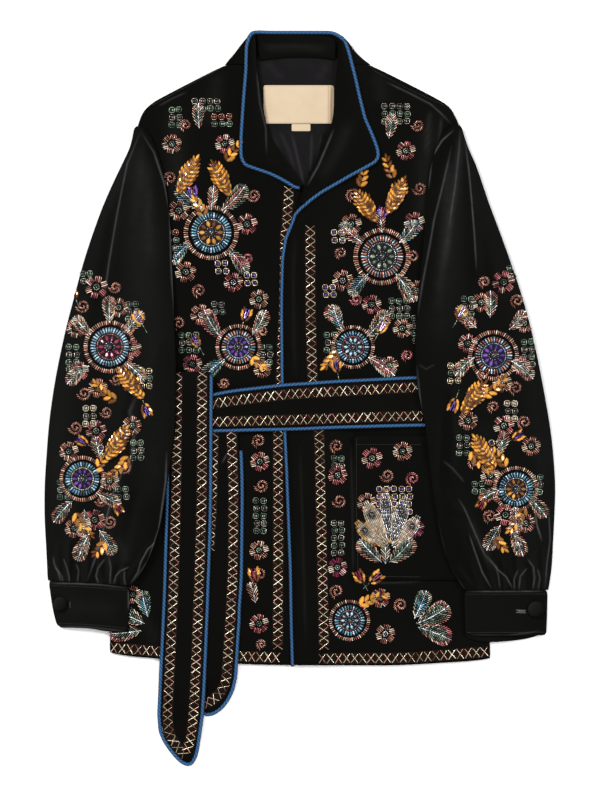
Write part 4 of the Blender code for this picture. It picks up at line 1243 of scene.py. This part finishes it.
FRONT = ("front_left", "front_right", "pocket")
FRONDS = (
    # across, height, direction, length, width, bend, sides, tips
    (-104, 222, 84, 30, 0.30, 0, "sage", "copper"),
    (-112, 224, 150, 44, 0.34, -24, "sage", "teal"),
    (-92, 222, 34, 42, 0.34, 26, "copper", "sage"),
    (-128, 184, 214, 34, 0.36, 26, "teal", "sage"),
    (-84, 176, 318, 36, 0.34, -22, "rose", "sage"),
    (-56, 76, 52, 34, 0.34, 18, "sage", "copper"),
    (-92, 72, 130, 40, 0.36, -18, "sage", "rose"),
    (-88, 48, 214, 34, 0.36, 14, "teal", "sage"),
    (96, 196, 96, 28, 0.30, 0, "sage", "copper"),
    (116, 184, 40, 34, 0.36, 22, "sage", "teal"),
    (74, 184, 150, 36, 0.34, -24, "rose", "sage"),
    (112, 148, 312, 40, 0.36, -20, "sage", "copper"),
    (80, 148, 222, 34, 0.34, 20, "teal", "sage"),
    (78, 74, 42, 40, 0.36, 18, "sage", "copper"),
    (50, 80, 118, 34, 0.34, -16, "teal", "sage"),
    (80, 50, 332, 38, 0.36, -14, "rose", "sage"),
    (-118, 318, 96, 30, 0.34, -10, "sage", "copper"),
    (104, 306, 78, 30, 0.34, 12, "sage", "copper"),
    (96, -190, 142, 38, 0.40, -16, "sage", "copper"),
    (104, -190, 36, 40, 0.40, 18, "sage", "copper"),
    (100, -192, 90, 26, 0.30, 0, "teal", "sage"),
    (136, -262, 20, 44, 0.42, 18, "sage", "copper"),
    (138, -266, 344, 42, 0.40, -10, "sage", "rose"),
    (134, -256, 62, 36, 0.38, 10, "teal", "sage"),
    (-182, -262, 152, 40, 0.42, 12, "sage", "copper"),
    (-186, -270, 190, 38, 0.40, -10, "sage", "rose"),
    (-178, -254, 108, 32, 0.38, -10, "teal", "sage"),
    (-52, -238, 100, 26, 0.34, 12, "sage", "copper"),
)
for x, y, direction, length, width, bend, side, tip in FRONDS:
    frond(x, y, direction, length, (side, tip), FRONT, width, bend)

DAISIES = (
    # across, height, radius, petal look, core look
    (-142, 222, 12, "copper", "sage"),
    (-62, 206, 12, "rose", "sage"),
    (-134, 150, 12, "copper", "sage"),
    (-78, 138, 11, "rose", "silver"),
    (-116, 100, 12, "copper", "sage"),
    (-48, 118, 11, "copper", "sage"),
    (-126, 42, 11, "rose", "sage"),
    (-44, 36, 10, "copper", "silver"),
    (-150, 300, 11, "copper", "sage"),
    (-88, 300, 11, "rose", "sage"),
    (60, 206, 12, "copper", "sage"),
    (134, 208, 12, "rose", "sage"),
    (50, 140, 12, "copper", "silver"),
    (136, 128, 12, "copper", "sage"),
    (84, 112, 11, "rose", "sage"),
    (120, 84, 11, "copper", "sage"),
    (38, 102, 10, "rose", "sage"),
    (104, 40, 11, "copper", "sage"),
    (124, 292, 11, "rose", "sage"),
    (44, -88, 11, "rose", "sage"),
    (44, -196, 11, "crimson", "sage"),
    (84, -68, 12, "rose", "sage"),
    (120, -60, 11, "copper", "sage"),
    (78, -120, 11, "copper", "sage"),
    (134, -150, 11, "crimson", "sage"),
    (94, -232, 11, "rose", "sage"),
    (100, -274, 11, "copper", "silver"),
    (-47, -72, 11, "rose", "sage"),
    (-48, -176, 11, "copper", "sage"),
    (-48, -262, 11, "rose", "sage"),
    (-196, -228, 10, "copper", "sage"),
)
for row in DAISIES:
    daisy(*row, FRONT)

SPIRALS = (
    # across, height, radius, look, hand
    (-152, 260, 8, "copper", 1),
    (-54, 240, 8, "copper", -1),
    (-118, 128, 8, "copper", 1),
    (-62, 166, 7, "rose", -1),
    (-44, 80, 7, "copper", 1),
    (-89, 20, 6.5, "copper", -1),
    (-142, 90, 8, "copper", 1),
    (62, 240, 8, "copper", 1),
    (140, 248, 8, "copper", -1),
    (48, 172, 7, "copper", 1),
    (66, 118, 7, "rose", -1),
    (132, 168, 8, "copper", 1),
    (98, 92, 8, "copper", -1),
    (34, 44, 7, "copper", 1),
    (126, 52, 7, "rose", 1),
    (43, -54, 8, "copper", 1),
    (46, -118, 8, "copper", -1),
    (43, -224, 8, "copper", 1),
    (102, -88, 8, "copper", -1),
    (132, -92, 8, "rose", 1),
    (118, -240, 8, "copper", 1),
    (-48, -48, 8, "copper", 1),
    (-45, -100, 8, "copper", -1),
    (-47, -204, 8, "copper", 1),
    (-45, -286, 6, "copper", 1),
    (-134, 322, 7, "copper", 1),
    (138, 322, 7, "copper", -1),
)
for x, y, radius, look, hand in SPIRALS:
    spiral(x, y, radius, look, FRONT, hand)

BLOCKS = (
    # across, height, columns, rows, looks
    (-110, 350, 4, 2, ("pewter", "sage")),
    (-146, 340, 2, 3, ("sage", "pewter")),
    (112, 344, 4, 3, ("pewter", "sage")),
    (-150, 196, 2, 4, ("sage", "pewter", "copper")),
    (-92, 160, 2, 2, ("purple",)),
    (-58, 146, 2, 2, ("purple",)),
    (-96, 112, 2, 2, ("pewter", "sage")),
    (-40, 62, 2, 3, ("sage", "pewter")),
    (-130, 76, 3, 3, ("sage", "pewter")),
    (44, 196, 2, 2, ("purple",)),
    (34, 132, 2, 2, ("purple",)),
    (116, 116, 3, 3, ("sage", "pewter")),
    (36, 76, 2, 3, ("sage", "pewter")),
    (138, 96, 2, 4, ("sage", "pewter")),
    (44, -144, 2, 5, ("pewter", "sage")),
    (44, -68, 2, 2, ("sage", "pewter")),
    (110, -104, 5, 4, ("purple",)),
    (-47, -118, 2, 5, ("sage", "pewter")),
    (-92, 332, 3, 2, ("copper", "sage")),
)
for x, y, columns, rows, looks in BLOCKS:
    tiles(x, y, columns, rows, looks, FRONT)

BUDS = (
    # across, height, direction, outer, inner, size
    (-66, 92, 70, "amber", "purple", 20),
    (-118, 62, 120, "amber", "purple", 18),
    (44, 32, 100, "amber", "purple", 20),
    (92, 78, 60, "amber", "purple", 18),
    (-124, 236, 100, "purple", "crimson", 18),
    (96, 212, 84, "purple", "crimson", 18),
    (-52, -214, 100, "amber", "crimson", 22),
    (82, -214, 40, "amber", "crimson", 22),
    (74, -214, 120, "amber", "crimson", 20),
)
for x, y, direction, outer, inner, size in BUDS:
    bud(x, y, direction, outer, inner, FRONT, size)

SPRIGS = (
    # across, height, direction, count, look, size, bend
    (-112, 214, 110, 4, "amber", 11, 20),
    (-86, 280, 60, 4, "amber", 11, -20),
    (-60, 56, 300, 4, "amber", 11, 30),
    (110, 260, 120, 4, "amber", 11, -20),
    (70, 250, 70, 4, "amber", 11, 20),
    (44, 58, 240, 4, "amber", 11, -20),
    (70, -240, 30, 5, "amber", 11, -18),
)
for x, y, direction, count, look, size, bend in SPRIGS:
    sprig(x, y, direction, count, look, FRONT, size, bend)

PLUMES = (
    # across, height, direction, length, width, outer, inner, bend
    (103, -172, 152, 48, 18, "amber", "cream", -22),
    (103, -168, 124, 56, 19, "cream", "cream", -12),
    (104, -166, 96, 62, 19, "amber", "silver", -4),
    (106, -168, 68, 58, 19, "cream", "silver", 10),
    (108, -172, 40, 48, 18, "silver", "cream", 20),
)
for x, y, direction, length, width, outer, inner, bend in PLUMES:
    plume(x, y, direction, length, width, outer, inner, "pocket", bend)

# The sleeves' motifs, as they stand on the right sleeve; the left one mirrors them.
SLEEVE = ("sleeve_upper",)
SLEEVE_DAISIES = (
    # across, height, radius, look
    (238, 132, 13, "rose"), (212, 108, 11, "copper"), (262, 84, 11, "copper"), (196, 60, 11, "rose"),
    (236, 14, 11, "copper"), (258, 34, 11, "rose"), (196, -30, 11, "copper"), (238, -36, 12, "rose"),
    (270, -60, 11, "copper"), (222, -94, 11, "copper"), (240, -140, 12, "rose"), (264, -150, 11, "copper"),
)
SLEEVE_SPIRALS = (
    # across, height, radius
    (216, 132, 7), (254, 110, 8), (200, 84, 8), (252, 8, 8), (214, 24, 7), (226, -14, 7), (262, -32, 8),
    (204, -78, 8), (232, -118, 7), (222, -142, 8), (254, -172, 7),
)
SLEEVE_BLOCKS = (
    # across, height, columns, rows, looks
    (196, 112, 2, 3, ("sage", "pewter")), (250, 148, 2, 2, ("sage", "pewter")),
    (180, 34, 2, 3, ("gold", "sage")), (266, 62, 2, 4, ("sage", "pewter")),
    (246, -10, 2, 3, ("cream", "pewter")), (190, -50, 2, 3, ("sage", "pewter")),
    (228, -56, 2, 2, ("purple",)), (276, -96, 2, 3, ("sage", "pewter")), (208, -104, 2, 2, ("sage",)),
)
SLEEVE_FRONDS = (
    # across, height, direction, length, bend
    (222, 90, 84, 32, 10), (206, 78, 140, 34, -20), (244, 76, 40, 30, 18), (204, 44, 214, 32, 20),
    (246, 40, 330, 34, -20), (232, -70, 70, 28, 12), (236, -110, 200, 30, 14), (266, -118, 318, 34, -14),
    (252, -128, 268, 34, 10), (234, -152, 236, 34, 12), (246, -156, 300, 36, -12),
)
SLEEVE_BUDS = (
    # across, height, direction, inner, size
    (184, 88, 60, "purple", 20), (262, 118, 70, "crimson", 16), (182, -4, 250, "purple", 20),
    (248, -52, 30, "purple", 18), (216, -120, 240, "crimson", 18),
)
SLEEVE_SPRIGS = (
    # across, height, direction, count, bend
    (214, 0, 20, 5, 40), (200, -66, 300, 5, 30), (240, -84, 120, 4, 20), (262, -132, 250, 5, -30),
    (228, -166, 300, 3, 20),
)


def mirrored(direction, side):
    """A direction in degrees, mirrored for the left side."""
    return direction if side > 0 else 180 - direction


for side, shift in ((-1, 0.0), (1, 6.0)):
    for x, y, radius, look in SLEEVE_DAISIES:
        daisy(side * x, y + shift, radius, look, "sage", SLEEVE)
    for x, y, radius in SLEEVE_SPIRALS:
        spiral(side * x, y + shift, radius, "copper", SLEEVE, side)
    for x, y, columns, rows, looks in SLEEVE_BLOCKS:
        tiles(side * x, y + shift, columns, rows, looks, SLEEVE)
    for x, y, direction, length, bend in SLEEVE_FRONDS:
        angle = mirrored(direction, side)
        frond(side * x, y + shift, angle, length, ("sage", "copper"), SLEEVE, 0.36, side * bend)
    for x, y, direction, inner, size in SLEEVE_BUDS:
        bud(side * x, y + shift, mirrored(direction, side), "amber", inner, SLEEVE, size)
    for x, y, direction, count, bend in SLEEVE_SPRIGS:
        sprig(side * x, y + shift, mirrored(direction, side), count, "amber", SLEEVE, 11, side * bend)

# Cuff buttons and stitches

for node in ("cuff_button_left", "cuff_button_right"):
    bm = welded(node)
    bmesh.ops.subdivide_edges(bm, edges=bm.edges[:], cuts=1, use_grid_fill=True, smooth=0.6)
    mesh = bpy.data.meshes.new("button_" + node)
    bm.to_mesh(mesh)
    bm.free()
    piece_of("covered_" + node, mesh, PILE["button"], node)


def stitch(look, x, y, angle, length, radius, on):
    """A short thread lying on the cloth."""
    put(look, ROD, x, y, angle, (length, radius, radius), radius * 0.4, on, store=STITCHES)


for k in range(9):
    stitch("grey", 253.0 + 1.35 * k, -245.6 - 0.05 * k, 4, 1.3, 0.30, "cuff")
    stitch("grey", 253.2 + 1.35 * k, -248.6 - 0.05 * k, 4, 1.3, 0.30, "cuff")
for k in range(6):
    stitch("grey", 255.0 + 1.5 * k, -247.1, 86, 2.4, 0.28, "cuff")
    stitch("velvet", -269.6 + 0.2 * abs(k - 2.5), -236.8 - 1.1 * k, 4, 1.4, 0.30, "cuff")
for k in range(54):
    stitch("label", -41.4 + 1.5 * k, 367.7, 0, 1.0, 0.26, "neck")
    stitch("label", -41.4 + 1.5 * k, 325.1, 0, 1.0, 0.26, "neck")
for k in range(28):
    stitch("label", -41.7, 326.0 + 1.5 * k, 90, 1.0, 0.26, "neck")
    stitch("label", 38.8, 326.0 + 1.5 * k, 90, 1.0, 0.26, "neck")
TOPSTITCH = (
    # piece, line
    ("pocket_right", ((66, -46), (66, -120), (68, -206))),
    ("pocket_right", ((66, -206), (140, -207))),
    ("pocket_right", ((66, -52), (140, -52))),
    ("cuff_upper_left", ((-293, -217), (-248, -219), (-202, -222.5))),
    ("cuff_upper_left", ((-284, -261.5), (-246, -262.8), (-205, -267))),
    ("cuff_upper_right", ((196, -227), (286, -227))),
    ("cuff_upper_right", ((197, -271.8), (286, -271.8))),
    ("front_left", ((-92, 389), (-135, 366), (-172, 346))),
    ("front_right", ((86, 386), (130, 363), (168, 346))),
)
for on, line in TOPSTITCH:
    for x, y, angle in curve(line, 2.9):
        stitch("dark", x, y, angle, 2.0, 0.22, on)
for look, material in THREADS.items():
    build("stitches_" + look, *STITCHES[look], material, "label" if look == "label" else "velvet")

# The bands and beads are made into pieces.

AMBER_SLOT = ("amber", "gold", "copper", "cream")
FACETED = ("amber", "purple", "crimson")
build("trim_bands", *BAND_STORE, BAND, "velvet", smooth=False)
for look, (verts, faces) in STORE.items():
    slot = "amber_beads" if look in AMBER_SLOT else "teal_beads"
    build("beads_" + look, verts, faces, BEADS[look], slot, smooth=look not in FACETED)

# Floor, light and camera

FLOOR_SIZE = 5.0
FLOOR_DROP = 0.0002
WORLD_STRENGTH = 0.45
bpy.ops.mesh.primitive_plane_add(size=FLOOR_SIZE, location=(0.0, 0.0, -FLOOR_DROP))
floor = bpy.context.object
floor.name = "floor"
floor_look, tree, shader = base_material("pale_floor", (0.93, 0.93, 0.93), 0.9)
link(tree, ramp(tree, noise(tree, 3.0, 2.0), 0.3, 0.7, (0.93, 0.93, 0.93), (0.945, 0.945, 0.945)),
     shader.inputs["Base Color"])
floor.data.materials.append(floor_look)

world = bpy.data.worlds.new("studio")
SCENE.world = world
world.use_nodes = True
world.node_tree.nodes["Background"].inputs["Color"].default_value = (1.0, 1.0, 1.0, 1.0)
world.node_tree.nodes["Background"].inputs["Strength"].default_value = WORLD_STRENGTH

LIGHTS = (
    # name, place, size, power
    ("key", (-1.7, 1.5, 2.4), 1.0, 88.0),
    ("fill", (2.0, 0.4, 2.4), 1.2, 50.0),
    ("low", (0.3, -2.2, 2.2), 1.0, 30.0),
    ("spark", (-0.5, 0.7, 2.4), 0.10, 9.0),
)
for name, place, size, power in LIGHTS:
    lamp = bpy.data.lights.new(name, "AREA")
    lamp.size = size
    lamp.energy = power
    holder = bpy.data.objects.new(name, lamp)
    holder.location = place
    holder.rotation_euler = (Vector((0.0, 0.0, 0.0)) - Vector(place)).to_track_quat("-Z", "Y").to_euler()
    SCENE.collection.objects.link(holder)

CAMERA_HEIGHT = 4.0
# The picture's long side and the height of the cloth that it is measured at, in metres.
VIEW_LONG = 0.936
CLOTH_TOP = 0.01
SENSOR = 36.0
view = bpy.data.cameras.new("camera")
view.sensor_width = SENSOR
view.lens = SENSOR * (CAMERA_HEIGHT - CLOTH_TOP) / VIEW_LONG
eye = bpy.data.objects.new("camera", view)
eye.location = (OFFSET_X * MM, OFFSET_Y * MM, CAMERA_HEIGHT)
SCENE.collection.objects.link(eye)
SCENE.camera = eye
